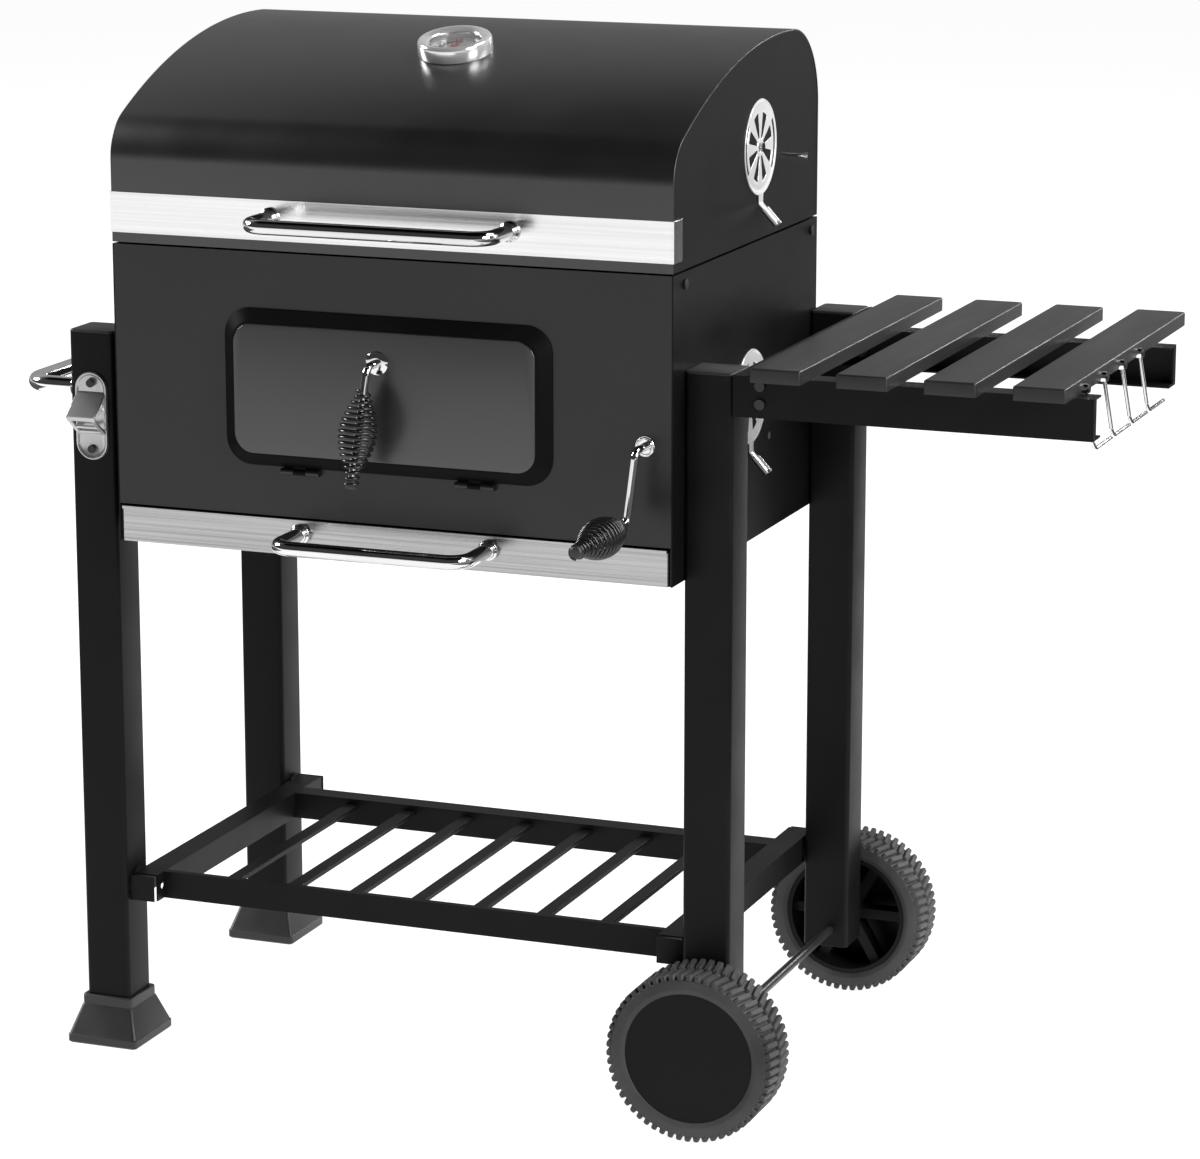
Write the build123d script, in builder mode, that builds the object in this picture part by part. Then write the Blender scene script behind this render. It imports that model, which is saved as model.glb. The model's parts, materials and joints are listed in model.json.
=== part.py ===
from build123d import *
import os
from math import atan2, cos, degrees, radians, sin, sqrt

os.makedirs("parts", exist_ok=True)

# Charcoal grill cart. Sizes in millimetres. In this file a point is given from the firebox's centre
# line (x), its front face (y) and the ground (z); at() moves it to the part's own frame, whose origin is
# at the middle of the whole cart's footprint, on the ground.

# Firebox
box_w = 604.0  # outer width
box_d = 440.0  # outer depth
box_top = 865.0  # rim height
box_h = 307.0  # side and rear panels
front_up = 39.0  # bottom edge of the front panel, above theirs, for the ash drawer
sheet = 1.5  # sheet steel of every panel
corner_flange = 42.0  # folded edge that joins two panels
corner_screw_in = 33.0  # front corner screw, back from the front face
rear_screw_in = 20.0  # rear corner screw, in front of the rear face
corner_screw_down = 12.0  # corner screws, below the rim
screw_r = 2.5
screw_head_r = 5.0
screw_head_t = 2.5
ledge_drop = 25.0  # grate ledge, below the rim
ledge_w = 15.0

# Lid
lid_gap = 2.0  # between the firebox rim and the lid
lid_h = 203.0
peak_in = 109.0  # highest line, in front of the rear face
crown_r = 650.0  # big curve of the top
lid_front_r = 50.0
lid_rear_r = 85.0
side_recess = 0.5  # side plates sit this far inside the wrap's edge
band_up = 10.0  # band, above the lid's lower edge
band_h = 41.0
band_t = 1.0
band_wrap = 23.0  # how far the band goes round each corner
lid_handle_up = 33.0  # handle, above the lid's lower edge
lid_handle_span = 258.0
lid_handle_out = 62.0
lid_handle_shift = 4.0
handle_r = 7.5  # lid and drawer handle tube
handle_bend = 20.0
handle_collar_r = 10.5
handle_screw_r = 3.0
handle_nut_r = 6.0
handle_nut_t = 4.0
handle_collar_t = 5.0
hinge_x = 200.0  # lid hinges, from the centre line
hinge_w = 60.0
hinge_r = 5.0
hinge_pin_r = 2.5
hinge_back = 7.0  # hinge axis, behind the rear panel
hinge_leaf_h = 40.0
hinge_leaf_t = 2.0
hinge_leaf_off = 6.0  # from the hinge axis to the flat part of a leaf
side_pin_in = 98.0  # pin on the lid's side, in front of the rear face
side_pin_up = 74.0  # and above the lid's lower edge
side_pin_out = 23.0
side_pin_head = 1.5  # the head is this much wider than the pin
side_pin_head_t = 3.0

# Thermometer on the lid
gauge_y = 180.0  # along the lid, back from the front face
gauge_r = 38.5
gauge_h = 16.0
gauge_lip = 12.0
gauge_floor = 3.0  # bottom of the case, under the dial
gauge_stem = 52.0
gauge_nut_t = 6.0
gauge_nut_wall = 5.0
dial_t = 1.0
needle_t = 1.0
needle_up = 1.0  # needle, above the dial
needle_len = 20.0
needle_hub_r = 4.0
glass_t = 2.0
glass_down = 6.0  # underside of the glass, below the case's top

# Air vents: one on the lid's right side, one on the firebox's right side
vent_r = 49.0
lid_vent_in = 185.4  # lid vent, in front of the rear face
lid_vent_up = 93.0  # and above the lid's lower edge
box_vent_in = 210.0  # firebox vent, in front of the rear face
box_vent_down = 157.0  # and below the rim
vent_t = 1.5
vent_gap = 0.3  # between a disc and its panel
vent_windows = 8
vent_in = 9.0
vent_out = 36.0
vent_seal = 4.0  # the panel's windows are this many degrees narrower than the disc's
vent_slot_r = 43.0
vent_slot_w = 5.0
vent_slot_half = 34.0  # half of each long slot, in degrees
vent_pivot_r = 3.0
rivet_head_t = 2.0
rivet_head_wide = 2.0  # wider than the pivot
lever_drop = 8.0  # straight part below the disc
lever_len = 28.0  # part bent outwards
lever_turn = 43.0  # how far it is bent, in degrees
lever_w = 12.0
grip_w = 14.0
grip_len = 21.0
grip_t = 6.0

# Charcoal door in the front panel
door_w = 354.0
door_down = 216.5  # bottom edge of the door, below the rim
door_h = 160.0
door_corner = 28.0
door_rise = 12.0  # how far the face stands out
door_bevel = 13.0
door_lap = 16.0  # the door covers the opening by this much all round
door_gap = 0.3
door_hinge_x = 95.0
door_hinge_len = 42.0
door_hinge_r = 3.2
door_pin_r = 1.5
hinge_under = 0.8  # door hinge barrels, below the door's edge
hinge_off = 0.2  # and in front of the panel
knuckle_gap = 0.2
tab_up = 2.2  # the door's hinge tabs reach this far up behind its edge
tab_t = 2.5
knob_x = -5.5  # handle spindle
knob_up = 114.5  # and above the door's bottom edge
spindle_r = 4.0
rosette_r = 12.0
rosette_t = 3.0
rosette_neck_r = 6.5
rosette_neck_t = 4.0
knob_out = 36.0
grip_drop = 118.0  # door handle, spindle to free end
grip_lean_x = -11.5
grip_lean_y = -17.0
knob_bend = 10.0
coil_r = 20.0  # widest part of a coil grip
coil_end_r = 8.0
coil_belly = 0.45  # where a coil grip is widest, as a share of its length
coil_past = 2.0  # a coil grip runs past its rod's end by this much
door_coil_len = 100.0
tongue_len = 45.0
tongue_w = 14.0
tongue_t = 3.0
tongue_back = 2.0  # tongue, behind the front panel

# Crank and coal tray lift
crank_in = 28.0  # spindle, from the firebox's right side
crank_down = 168.0  # spindle, below the rim
crank_out = 28.0  # spindle, in front of the panel
crank_drop = 72.0
crank_lean = -8.0
crank_bend = 8.0
elbow_out = 4.0  # the crank's elbow stands this much further out than its top
crank_coil_len = 125.0
crank_end = 168.0  # free end of the crank grip, in front of the panel
thread_r = 5.0
bush_flange_r = 10.0
bush_flange_t = 2.0
bush_r = 8.0
bush_end = 10.0
thread_end = 112.0
fit = 0.05  # running clearance, each side
nut_w = 16.0
nut_travel = 36.0
lever_arm = 40.0  # from a link's pivot to the nut
link_len = 90.0
link_t = 4.0
link_half = 9.0
link_in = 10.5  # links, inside the side panels
link_y = 70.0  # front pivots
link_rear = 150.0  # rear pivots, in front of the rear face
pivot_r = 4.0
pin_r = 3.0
collar_wide = 3.0  # a stud's collars are this much wider than its pivot
side_play = 0.4
slot_play = 0.8
tray_in = 41.0  # tray, inside the links
tray_front = 25.0
tray_back = 30.0
tray_h = 55.0
tray_slots = 10
tray_slot_rows = 3
tray_slot_len = 90.0
tray_slot_w = 8.0
tray_pin_up = 8.0  # pins, above the tray's underside

# Ash drawer
drawer_front_in = 5.0  # each end of the drawer front, inside the firebox's sides
drawer_gap = 2.0  # between the drawer front and the front panel
drawer_lip = 3.0
drawer_h = 32.0
drawer_back = 10.5  # behind the drawer, to the rear face
drawer_lift = 0.5  # above its rails
drawer_side_gap = 1.0
drawer_handle_span = 205.0
drawer_handle_out = 70.0
drawer_handle_shift = 6.5
drawer_handle_up = 23.0  # handle, above the drawer front's lower edge

# Cooking grates
grate_side = 6.0  # from a grate to the firebox's side
grate_split = 2.0  # half the gap between the two grates
grate_end = 12.0  # from a grate to the firebox's front or rear face
grate_frame_r = 3.0
grate_bar_r = 2.5
grate_bars = 15

# Legs, feet and wheels
leg = 50.0
leg_wall = 2.0
leg_down = 97.0  # top of the legs, below the rim
cap_t = 3.0
cap_plug = 12.0
left_gap = 20.0  # firebox to the left legs
leg_front = 32.0  # front legs, back from the front face
rear_leg_past = 30.0  # rear legs stand out behind the firebox
leg_under_axle = 19.0
bolt_r = 4.0
bolt_head_r = 6.5
bolt_head_t = 4.5
bolt_end = 8.0  # bolt and nut inside a leg
leg_bolt_down = (156.0, 26.0)  # below the legs' tops
rear_bolt_in = 10.0  # rear leg bolts, in front of the rear panel
foot_x = 81.0
foot_y = 87.0
foot_skirt = 12.0
foot_h = 51.0
foot_collar = 4.0  # rim round the leg
foot_floor = 10.0
wheel_r = 87.0
wheel_w = 62.0
wheel_gap = 4.0
tyre_t = 20.0
rim_t = 5.0
hub_r = 15.0
spokes = 6
spoke_w = 11.0
spoke_in = 15.5  # spokes, from the wheel's inner face
spoke_deep = 20.5
hub_short = 12.0  # hub, inside the wheel's outer face
hub_inset = 3.0  # rim and hub cap, inside the tyre's faces
axle_inset = 8.0  # axle ends, inside the wheels' outer faces
axle_cap_t = 3.0
axle_cap_wide = 4.0  # wider than the axle
washer_wide = 6.0  # wider than the axle
washer_play = 0.5
spacer_wide = 2.0  # wider than a bolt head
tyre_chamfer = 3.0
axle_r = 5.0
axle_shift = 5.0  # axle, outwards from the legs' middle

# Lower shelf
shelf_low = 158.0
rail_h = 29.0
rail_w = 30.0
rail_wall = 1.5
rail_end = 12.0  # side rails run past the legs' middle by this much
ear_r = 19.0
ear_t = 3.0
front_rail_in = 28.0  # front rail, behind the front legs' faces
rear_rail_in = 35.0  # rear rail, in front of the rear legs' faces
front_flange = 8.0
rear_flange = 25.0
shelf_bars = 7
bar_w = 15.0
bar_t = 5.0
bar_sink = 6.0  # bars' tops, below the rails' tops

# Side table
slat_w = 51.4
slat_pitch = 87.0
slat_count = 4
slat_t = 14.0
slat_front = 33.0  # slats run past the legs' front faces by this much
slat_rear = 5.0  # and past the rear legs' rear faces
table_up = 13.0  # table top, above the legs
first_slat = 28.0  # from the right legs to the first slat
arm_past = 19.1  # arms' free ends, past the last slat
arm_h = 41.0
arm_d = 27.0
arm_t = 2.0
arm_fold = 10.0  # folded end of an arm
arm_bolt_in = 25.0  # from the table rail to the bolts through the arms
arm_bolt_low = 14.0
arm_bolt_high = 9.0
rear_arm_in = 89.0  # rear arm, in front of the rear legs' faces
table_rail_t = 3.0
hook_first = 30.0  # behind the front legs' faces
hook_pitch = 70.0
hook_eye_r = 5.0
hook_eye_t = 5.2
hook_eye_up = 4.0
hook_bend = 8.0
hook_count = 4
hook_r = 2.0
hook_drop = 58.0
hook_splay = 10.6
hook_foot = 64.0

# Push handle and bottle opener
push_r = 9.0
push_out = 63.0  # left legs' face to the tube's middle
push_down = 64.0  # below the legs' tops
push_flange_wide = 7.0
push_flange_t = 4.0
push_bend = 28.0
opener_w = 36.0
opener_down = 135.0  # its lower end, below the legs' tops
opener_h = 92.0
opener_t = 2.5
opener_nose = 30.0
opener_screw_in = 11.5
opener_screw_r = 4.5

# Worked out from the sizes above
half = box_w / 2
box_low = box_top - box_h
front_low = box_low + front_up
leg_top = box_top - leg_down
leg_bolt_z = [leg_top - down for down in leg_bolt_down]
right_leg_low = wheel_r - leg_under_axle
left_face = -half - left_gap - leg  # outer face of the left legs
right_face = half + leg  # outer face of the right legs
leg_rear = box_d + rear_leg_past - leg  # front face of the rear legs
front_rail_y = leg_front + front_rail_in
rear_rail_y = leg_rear - rear_rail_in
rear_arm_y = leg_rear - rear_arm_in
table_top = leg_top + table_up
slat_y = (leg_front - slat_front, leg_rear + leg + slat_rear)
table_reach = first_slat + (slat_count - 1) * slat_pitch + slat_w + arm_past
left_reach = -left_face + push_out + push_r
right_reach = right_face + table_reach
rear_reach = leg_rear + leg + wheel_gap + wheel_w
cx = (left_reach - right_reach) / 2
fy = (crank_end - rear_reach) / 2
lid_low = box_top + lid_gap
lid_top = lid_low + lid_h
lid_peak = box_d - peak_in
band_low = lid_low + band_up
lid_handle_z = lid_low + lid_handle_up
side_pin = (box_d - side_pin_in, lid_low + side_pin_up)
lid_vent_place = (box_d - lid_vent_in, lid_low + lid_vent_up)
box_vent_place = (box_d - box_vent_in, box_top - box_vent_down)
door_low = box_top - door_down
knob_z = door_low + knob_up
drawer_front_w = box_w - 2 * drawer_front_in
drawer_d = box_d - sheet - drawer_back
drawer_handle_z = box_low + drawer_handle_up
grate_w = half - grate_split - grate_side
grate_d = box_d - 2 * grate_end
push_z = leg_top - push_down
opener_low = leg_top - opener_down
axle_x = half + leg / 2 + axle_shift
slat_low = table_top - slat_t
crank_x = half - crank_in
crank_z = box_top - crank_down
link_x = half - sheet - link_in - link_t  # inner face of the links
link_pitch = box_d - link_y - link_rear
tray_w = 2 * (link_x - tray_in)
tray_d = box_d - tray_front - tray_back
link_rise = degrees(atan2(nut_travel / 2, lever_arm))  # links swing this far each side of level
pivot_z = crank_z - lever_arm
tray_pin_y = link_y + link_len * cos(radians(link_rise))
tray_pin_z = pivot_z - link_len * sin(radians(link_rise))
tray_low = tray_pin_z - tray_pin_up
nut_y = link_y + nut_travel / 2
window_turn = 180 / vent_windows  # a window and a spoke are each this wide

# Lid outline: a front curve, a crown and a rear curve that meet without a corner
crown_z = lid_top - crown_r
front_z = crown_z + sqrt((crown_r - lid_front_r) ** 2 - (lid_peak - lid_front_r) ** 2)
rear_cy = box_d - lid_rear_r
rear_z = crown_z + sqrt((crown_r - lid_rear_r) ** 2 - (rear_cy - lid_peak) ** 2)
front_turn = degrees(atan2(front_z - crown_z, lid_front_r - lid_peak))
rear_turn = degrees(atan2(rear_z - crown_z, rear_cy - lid_peak))


def at(x, y, z):
    return (cx + x, fy + y, z)


def block(x, y, z, mode=Mode.ADD):
    # A box from its two limits along each axis
    with Locations(at(sum(x) / 2, sum(y) / 2, sum(z) / 2)):
        Box(x[1] - x[0], y[1] - y[0], z[1] - z[0], mode=mode)


def rod(start, end, r, mode=Mode.ADD):
    # A round bar between two points
    a, b = Vector(*at(*start)), Vector(*at(*end))
    with Locations(Plane(origin=a, z_dir=b - a)):
        Cylinder(r, (b - a).length, align=(Align.CENTER, Align.CENTER, Align.MIN), mode=mode)


def bent_rod(points, r, bend):
    # A round bar through the points, with a rounded corner at each inner one
    with BuildLine() as path:
        FilletPolyline(*[at(*p) for p in points], radius=bend)
    with BuildSketch(Plane(origin=path.line @ 0, z_dir=path.line % 0)) as section:
        Circle(r)
    sweep(section.sketch, path=path.line)


def save(builder, name):
    builder.part.label = name
    export_step(builder.part, f"parts/{name}.step")


def lid_face(inset):
    # The edges of the lid's outline seen from its side, moved inwards by inset
    with BuildLine() as outline:
        Line((fy + inset, lid_low), (fy + inset, front_z))
        CenterArc((fy + lid_front_r, front_z), lid_front_r - inset, 180, front_turn - 180)
        CenterArc((fy + lid_peak, crown_z), crown_r - inset, front_turn, rear_turn - front_turn)
        CenterArc((fy + rear_cy, rear_z), lid_rear_r - inset, rear_turn, -rear_turn)
        Line((fy + box_d - inset, rear_z), (fy + box_d - inset, lid_low))
        Line((fy + box_d - inset, lid_low), (fy + inset, lid_low))
    return outline.edges()


def windows(y, z, width, mode, turn=0.0):
    # Wedge-shaped air windows round a vent's middle, in the open sketch; width is in degrees
    spread = radians(width / 2)
    with Locations((fy + y, z)):
        with PolarLocations(0, vent_windows, start_angle=turn):
            Polygon(
                (vent_in, -vent_in * sin(spread)),
                (vent_out, -vent_out * sin(spread)),
                (vent_out, vent_out * sin(spread)),
                (vent_in, vent_in * sin(spread)),
                align=None,
                mode=mode,
            )


# ---- Legs and what stands on the ground ----
leg_places = {
    "leg_front_left": (left_face, leg_front, foot_floor),
    "leg_rear_left": (left_face, leg_rear, foot_floor),
    "leg_front_right": (half, leg_front, right_leg_low),
    "leg_rear_right": (half, leg_rear, right_leg_low),
}


def bolt_y(y):
    # Leg bolts stand in the leg's middle in front and close to the panel's edge behind
    return y + leg / 2 if y < box_d / 2 else box_d - rear_bolt_in


for name, (x, y, low) in leg_places.items():
    inner = -half - left_gap if x < 0 else half
    with BuildPart() as post:
        block((x, x + leg), (y, y + leg), (low, leg_top - cap_t))
        inside = (x + leg_wall, x + leg - leg_wall)
        block(inside, (y + leg_wall, y + leg - leg_wall), (low, leg_top - cap_t), Mode.SUBTRACT)
        for z in leg_bolt_z:
            rod((inner - leg_wall, bolt_y(y), z), (inner + leg_wall, bolt_y(y), z), bolt_r, Mode.SUBTRACT)
        middle = (y + leg / 2, shelf_low + rail_h / 2)
        rod((inner - leg_wall, *middle), (inner + leg_wall, *middle), bolt_r, Mode.SUBTRACT)
        if x > 0:
            rod((axle_x, y - 1, wheel_r), (axle_x, y + leg + 1, wheel_r), axle_r, Mode.SUBTRACT)
    save(post, name)

with BuildPart() as leg_caps:
    for x, y, low in leg_places.values():
        block((x, x + leg), (y, y + leg), (leg_top - cap_t, leg_top))
        plug = (leg_top - cap_t - cap_plug, leg_top - cap_t)
        block((x + leg_wall, x + leg - leg_wall), (y + leg_wall, y + leg - leg_wall), plug)
save(leg_caps, "leg_caps")

with BuildPart() as feet:
    for y in (leg_front, leg_rear):
        middle = at(left_face + leg / 2, y + leg / 2, 0)
        with BuildSketch(Plane(origin=middle)):
            Rectangle(foot_x, foot_y)
        extrude(amount=foot_skirt)
        with BuildSketch(Plane(origin=(middle[0], middle[1], foot_skirt))):
            Rectangle(foot_x, foot_y)
        with BuildSketch(Plane(origin=(middle[0], middle[1], foot_h))):
            Rectangle(leg + 2 * foot_collar, leg + 2 * foot_collar)
        loft()
        block((left_face, left_face + leg), (y, y + leg), (foot_floor, foot_h), Mode.SUBTRACT)
save(feet, "feet")

with BuildPart() as spacers:
    for y in (leg_front, leg_rear):
        for z in leg_bolt_z:
            rod((-half - left_gap, bolt_y(y), z), (-half, bolt_y(y), z), bolt_head_r + spacer_wide)
            rod((-half - left_gap, bolt_y(y), z), (-half, bolt_y(y), z), bolt_r, Mode.SUBTRACT)
    for y in (leg_front - wheel_gap + washer_play, leg_rear + leg):
        washer = ((axle_x, y, wheel_r), (axle_x, y + wheel_gap - washer_play, wheel_r))
        rod(*washer, axle_r + washer_wide)
        rod(*washer, axle_r, Mode.SUBTRACT)
save(spacers, "spacers_and_washers")

with BuildPart() as axle:
    ends = (leg_front - wheel_gap - wheel_w + axle_inset, rear_reach - axle_inset)
    rod((axle_x, ends[0], wheel_r), (axle_x, ends[1], wheel_r), axle_r)
    for y, step in ((ends[0], axle_cap_t), (ends[1], -axle_cap_t)):
        rod((axle_x, y, wheel_r), (axle_x, y + step, wheel_r), axle_r + axle_cap_wide)
save(axle, "axle")

for side, near, out in (
    ("front", leg_front - wheel_gap, -1),
    ("rear", leg_rear + leg + wheel_gap, 1),
):
    far = near + out * wheel_w
    rim_out = wheel_r - tyre_t
    with BuildPart() as tyre:
        rod((axle_x, near, wheel_r), (axle_x, far, wheel_r), wheel_r)
        chamfer(tyre.edges().filter_by(GeomType.CIRCLE), tyre_chamfer)
        rod((axle_x, near, wheel_r), (axle_x, far, wheel_r), rim_out, Mode.SUBTRACT)
    save(tyre, f"{side}_tyre")
    with BuildPart() as hub:
        rim = ((axle_x, near + out * hub_inset, wheel_r), (axle_x, far - out * hub_inset, wheel_r))
        rod(*rim, rim_out)
        rod(*rim, rim_out - rim_t, Mode.SUBTRACT)
        hub_end = (axle_x, far - out * hub_short, wheel_r)
        rod((axle_x, near, wheel_r), hub_end, hub_r)
        with BuildSketch(Plane.XZ.offset(-(fy + near + out * spoke_in))):
            with Locations((cx + axle_x, wheel_r)):
                with PolarLocations(rim_out / 2, spokes):
                    Rectangle(rim_out - rim_t / 2, spoke_w)
        extrude(amount=-out * spoke_deep)
        rod((axle_x, far - out * 2 * hub_inset, wheel_r), rim[1], rim_out - rim_t / 2)
        rod((axle_x, near - out, wheel_r), hub_end, axle_r + fit, Mode.SUBTRACT)
    save(hub, f"{side}_wheel_hub")

# ---- Lower shelf ----
shelf_top = shelf_low + rail_h
rail_inner = {-1: -half - left_gap + rail_w, 1: half - rail_w}
with BuildPart() as shelf_rails:
    ends = (leg_front + leg / 2 - rail_end, leg_rear + leg / 2 + rail_end)
    bolt_z = shelf_low + rail_h / 2
    for side in (-1, 1):
        outer = -half - left_gap if side < 0 else half
        x = sorted((outer - side * ear_t, rail_inner[side]))
        hollow = (x[0] + rail_wall, x[1] - rail_wall)
        block(x, ends, (shelf_low, shelf_top))
        block(hollow, ends, (shelf_low, shelf_top - rail_wall), Mode.SUBTRACT)
        for y in (leg_front + leg / 2, leg_rear + leg / 2):
            rod((outer - side * ear_t, y, bolt_z), (outer, y, bolt_z), ear_r)
            rod((rail_inner[side], y, bolt_z), (outer, y, bolt_z), bolt_r, Mode.SUBTRACT)
    x = (rail_inner[-1], rail_inner[1])
    block(x, (front_rail_y, front_rail_y + arm_t), (shelf_low, shelf_top))
    block(x, (front_rail_y, front_rail_y + front_flange), (shelf_top - arm_t, shelf_top))
    block(x, (rear_rail_y, rear_rail_y + arm_t), (shelf_low, shelf_top))
    block(x, (rear_rail_y, rear_rail_y + rear_flange), (shelf_top - arm_t, shelf_top))
save(shelf_rails, "shelf_rails")

with BuildPart() as bars:
    span = rail_inner[1] - rail_inner[-1]
    for i in range(shelf_bars):
        x = rail_inner[-1] + span * (i + 1) / (shelf_bars + 1)
        z = shelf_top - bar_sink
        block((x - bar_w / 2, x + bar_w / 2), (front_rail_y + arm_t, rear_rail_y), (z - bar_t, z))
save(bars, "shelf_bars")

# ---- Firebox ----
door_top = door_low + door_h
with BuildPart() as front_panel:
    block((-half + sheet, half - sheet), (0, sheet), (front_low, box_top))
    for side in (-1, 1):
        x = sorted((side * (half - sheet), side * (half - 2 * sheet)))
        block(x, (sheet, sheet + corner_flange), (front_low, box_top))
        rod(
            (side * (half - 3 * sheet), corner_screw_in, box_top - corner_screw_down),
            (side * half, corner_screw_in, box_top - corner_screw_down),
            screw_r,
            Mode.SUBTRACT,
        )
    with BuildSketch(Plane.XZ.offset(-fy)):
        with Locations((cx, (door_low + door_top) / 2)):
            RectangleRounded(door_w - 2 * door_lap, door_h - 2 * door_lap, door_corner - door_lap / 2)
    extrude(amount=-sheet, mode=Mode.SUBTRACT)
    rod((crank_x, -1, crank_z), (crank_x, sheet + 1, crank_z), bush_r, Mode.SUBTRACT)
save(front_panel, "firebox_front")

with BuildPart() as rear_panel:
    block((-half + sheet, half - sheet), (box_d - sheet, box_d), (box_low, box_top))
    for side in (-1, 1):
        x = sorted((side * (half - sheet), side * (half - 2 * sheet)))
        block(x, (box_d - sheet - corner_flange, box_d - sheet), (front_low, box_top))
        for y, z, r in (
            (box_d - rear_screw_in, box_top - corner_screw_down, screw_r),
            (box_d - rear_bolt_in, leg_bolt_z[0], bolt_r),
            (box_d - rear_bolt_in, leg_bolt_z[1], bolt_r),
        ):
            rod((side * (half - 3 * sheet), y, z), (side * half, y, z), r, Mode.SUBTRACT)
save(rear_panel, "firebox_rear")

for side, name in ((-1, "firebox_left"), (1, "firebox_right")):
    with BuildPart() as wall:
        x = sorted((side * half, side * (half - sheet)))
        block(x, (0, box_d), (box_low, box_top))
        screw_z = box_top - corner_screw_down
        holes = [(corner_screw_in, screw_z, screw_r), (box_d - rear_screw_in, screw_z, screw_r)]
        for y in (leg_front, leg_rear):
            holes += [(bolt_y(y), z, bolt_r) for z in leg_bolt_z]
        holes += [(link_y, pivot_z, pivot_r), (link_y + link_pitch, pivot_z, pivot_r)]
        for y, z, r in holes:
            rod((x[0] - 1, y, z), (x[1] + 1, y, z), r, Mode.SUBTRACT)
        if side > 0:
            with BuildSketch(Plane.YZ.offset(cx + half)):
                windows(*box_vent_place, window_turn - vent_seal, Mode.ADD)
            extrude(amount=-sheet, mode=Mode.SUBTRACT)
            pivot = ((half - sheet, *box_vent_place), (half, *box_vent_place))
            rod(*pivot, vent_pivot_r, Mode.SUBTRACT)
    save(wall, name)

with BuildPart() as ledges:
    top = box_top - ledge_drop
    reach = half - 2 * sheet - 0.5
    for wall, inner in ((sheet, 1), (box_d - sheet, -1)):
        block((-reach, reach), sorted((wall, wall + inner * ledge_w)), (top - sheet, top))
        block((-reach, reach), sorted((wall, wall + inner * sheet)), (top - ledge_w, top - sheet))
    for side in (-1, 1):
        wall = side * (half - sheet)
        run = (sheet + 1, box_d - sheet - 1)
        block(sorted((wall, wall - side * ledge_w)), run, (box_low, box_low + sheet))
        block(sorted((wall, wall - side * sheet)), run, (box_low + sheet, front_low - drawer_gap))
save(ledges, "inner_ledges")

# ---- Charcoal door ----
hinge_z = door_low - door_hinge_r - hinge_under
hinge_y = -door_hinge_r - hinge_off
with BuildPart() as door:
    with BuildSketch(Plane.XZ.offset(-fy + door_gap)):
        with Locations((cx, (door_low + door_top) / 2)):
            RectangleRounded(door_w, door_h, door_corner)
    with BuildSketch(Plane.XZ.offset(-fy + door_rise)):
        with Locations((cx, (door_low + door_top) / 2)):
            RectangleRounded(door_w - 2 * door_bevel, door_h - 2 * door_bevel, door_corner - door_bevel / 2)
    loft()
    offset(amount=-sheet, openings=door.faces().sort_by(Axis.Y)[-1])
    for side in (-1, 1):
        x = side * door_hinge_x
        third = door_hinge_len / 6 - knuckle_gap
        rod((x - third, hinge_y, hinge_z), (x + third, hinge_y, hinge_z), door_hinge_r)
        block((x - third, x + third), (hinge_y - 1, hinge_y - 1 + tab_t), (hinge_z, door_low + tab_up))
        bore = ((x - third - 1, hinge_y, hinge_z), (x + third + 1, hinge_y, hinge_z))
        rod(*bore, door_pin_r + fit, Mode.SUBTRACT)
    rod((knob_x, -door_rise - 1, knob_z), (knob_x, 0, knob_z), rosette_neck_r, Mode.SUBTRACT)
save(door, "charcoal_door")

with BuildPart() as door_hinges:
    for side in (-1, 1):
        x = side * door_hinge_x
        for end in (-1, 1):
            inner, outer = x + end * door_hinge_len / 6, x + end * door_hinge_len / 2
            rod((inner, hinge_y, hinge_z), (outer, hinge_y, hinge_z), door_hinge_r)
            block(sorted((inner, outer)), (hinge_y, 0), (hinge_z - door_hinge_r, hinge_z))
        pin = (x - door_hinge_len / 2, x + door_hinge_len / 2)
        rod((pin[0], hinge_y, hinge_z), (pin[1], hinge_y, hinge_z), door_pin_r)
save(door_hinges, "door_hinges")

with BuildPart() as rosette:
    stops = (-door_rise - rosette_t, -door_rise + rosette_neck_t)
    rod((knob_x, stops[0], knob_z), (knob_x, -door_rise, knob_z), rosette_r)
    rod((knob_x, -door_rise, knob_z), (knob_x, stops[1], knob_z), rosette_neck_r)
    rod((knob_x, stops[0] - 1, knob_z), (knob_x, stops[1] + 1, knob_z), spindle_r + fit, Mode.SUBTRACT)
save(rosette, "door_rosette")

tongue_y = sheet + tongue_back
drop = (knob_x, -knob_out, knob_z)
tip = (knob_x + grip_lean_x, -knob_out + grip_lean_y, knob_z - grip_drop)
with BuildPart() as knob_rod:
    bent_rod(((knob_x, tongue_y + tongue_t, knob_z), drop, tip), spindle_r, knob_bend)
save(knob_rod, "door_handle_rod")


def coil_grip(start, end, length, name):
    # The outer shape of a coil grip on a rod that ends at end, bored for the rod
    a, b = Vector(*at(*start)), Vector(*at(*end))
    way = (b - a).normalized()
    base = Plane(origin=b - way * (length - coil_past), z_dir=way)
    with BuildPart() as grip:
        with BuildSketch(base):
            Circle(coil_end_r)
        with BuildSketch(base.offset(length * coil_belly)):
            Circle(coil_r)
        loft()
        with BuildSketch(base.offset(length * coil_belly)):
            Circle(coil_r)
        with BuildSketch(base.offset(length)):
            Circle(coil_end_r)
        loft()
        with Locations(base):
            stands = (Align.CENTER, Align.CENTER, Align.MIN)
            Cylinder(spindle_r, length - coil_past, align=stands, mode=Mode.SUBTRACT)
    save(grip, name)


coil_grip(drop, tip, door_coil_len, "door_grip")

with BuildPart() as tongue:
    y = (tongue_y, tongue_y + tongue_t)
    block((knob_x - tongue_len, knob_x + tongue_w / 2), y, (knob_z - tongue_w / 2, knob_z + tongue_w / 2))
    rod((knob_x, y[0] - 1, knob_z), (knob_x, y[1] + 1, knob_z), spindle_r, Mode.SUBTRACT)
save(tongue, "door_latch_tongue")

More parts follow.
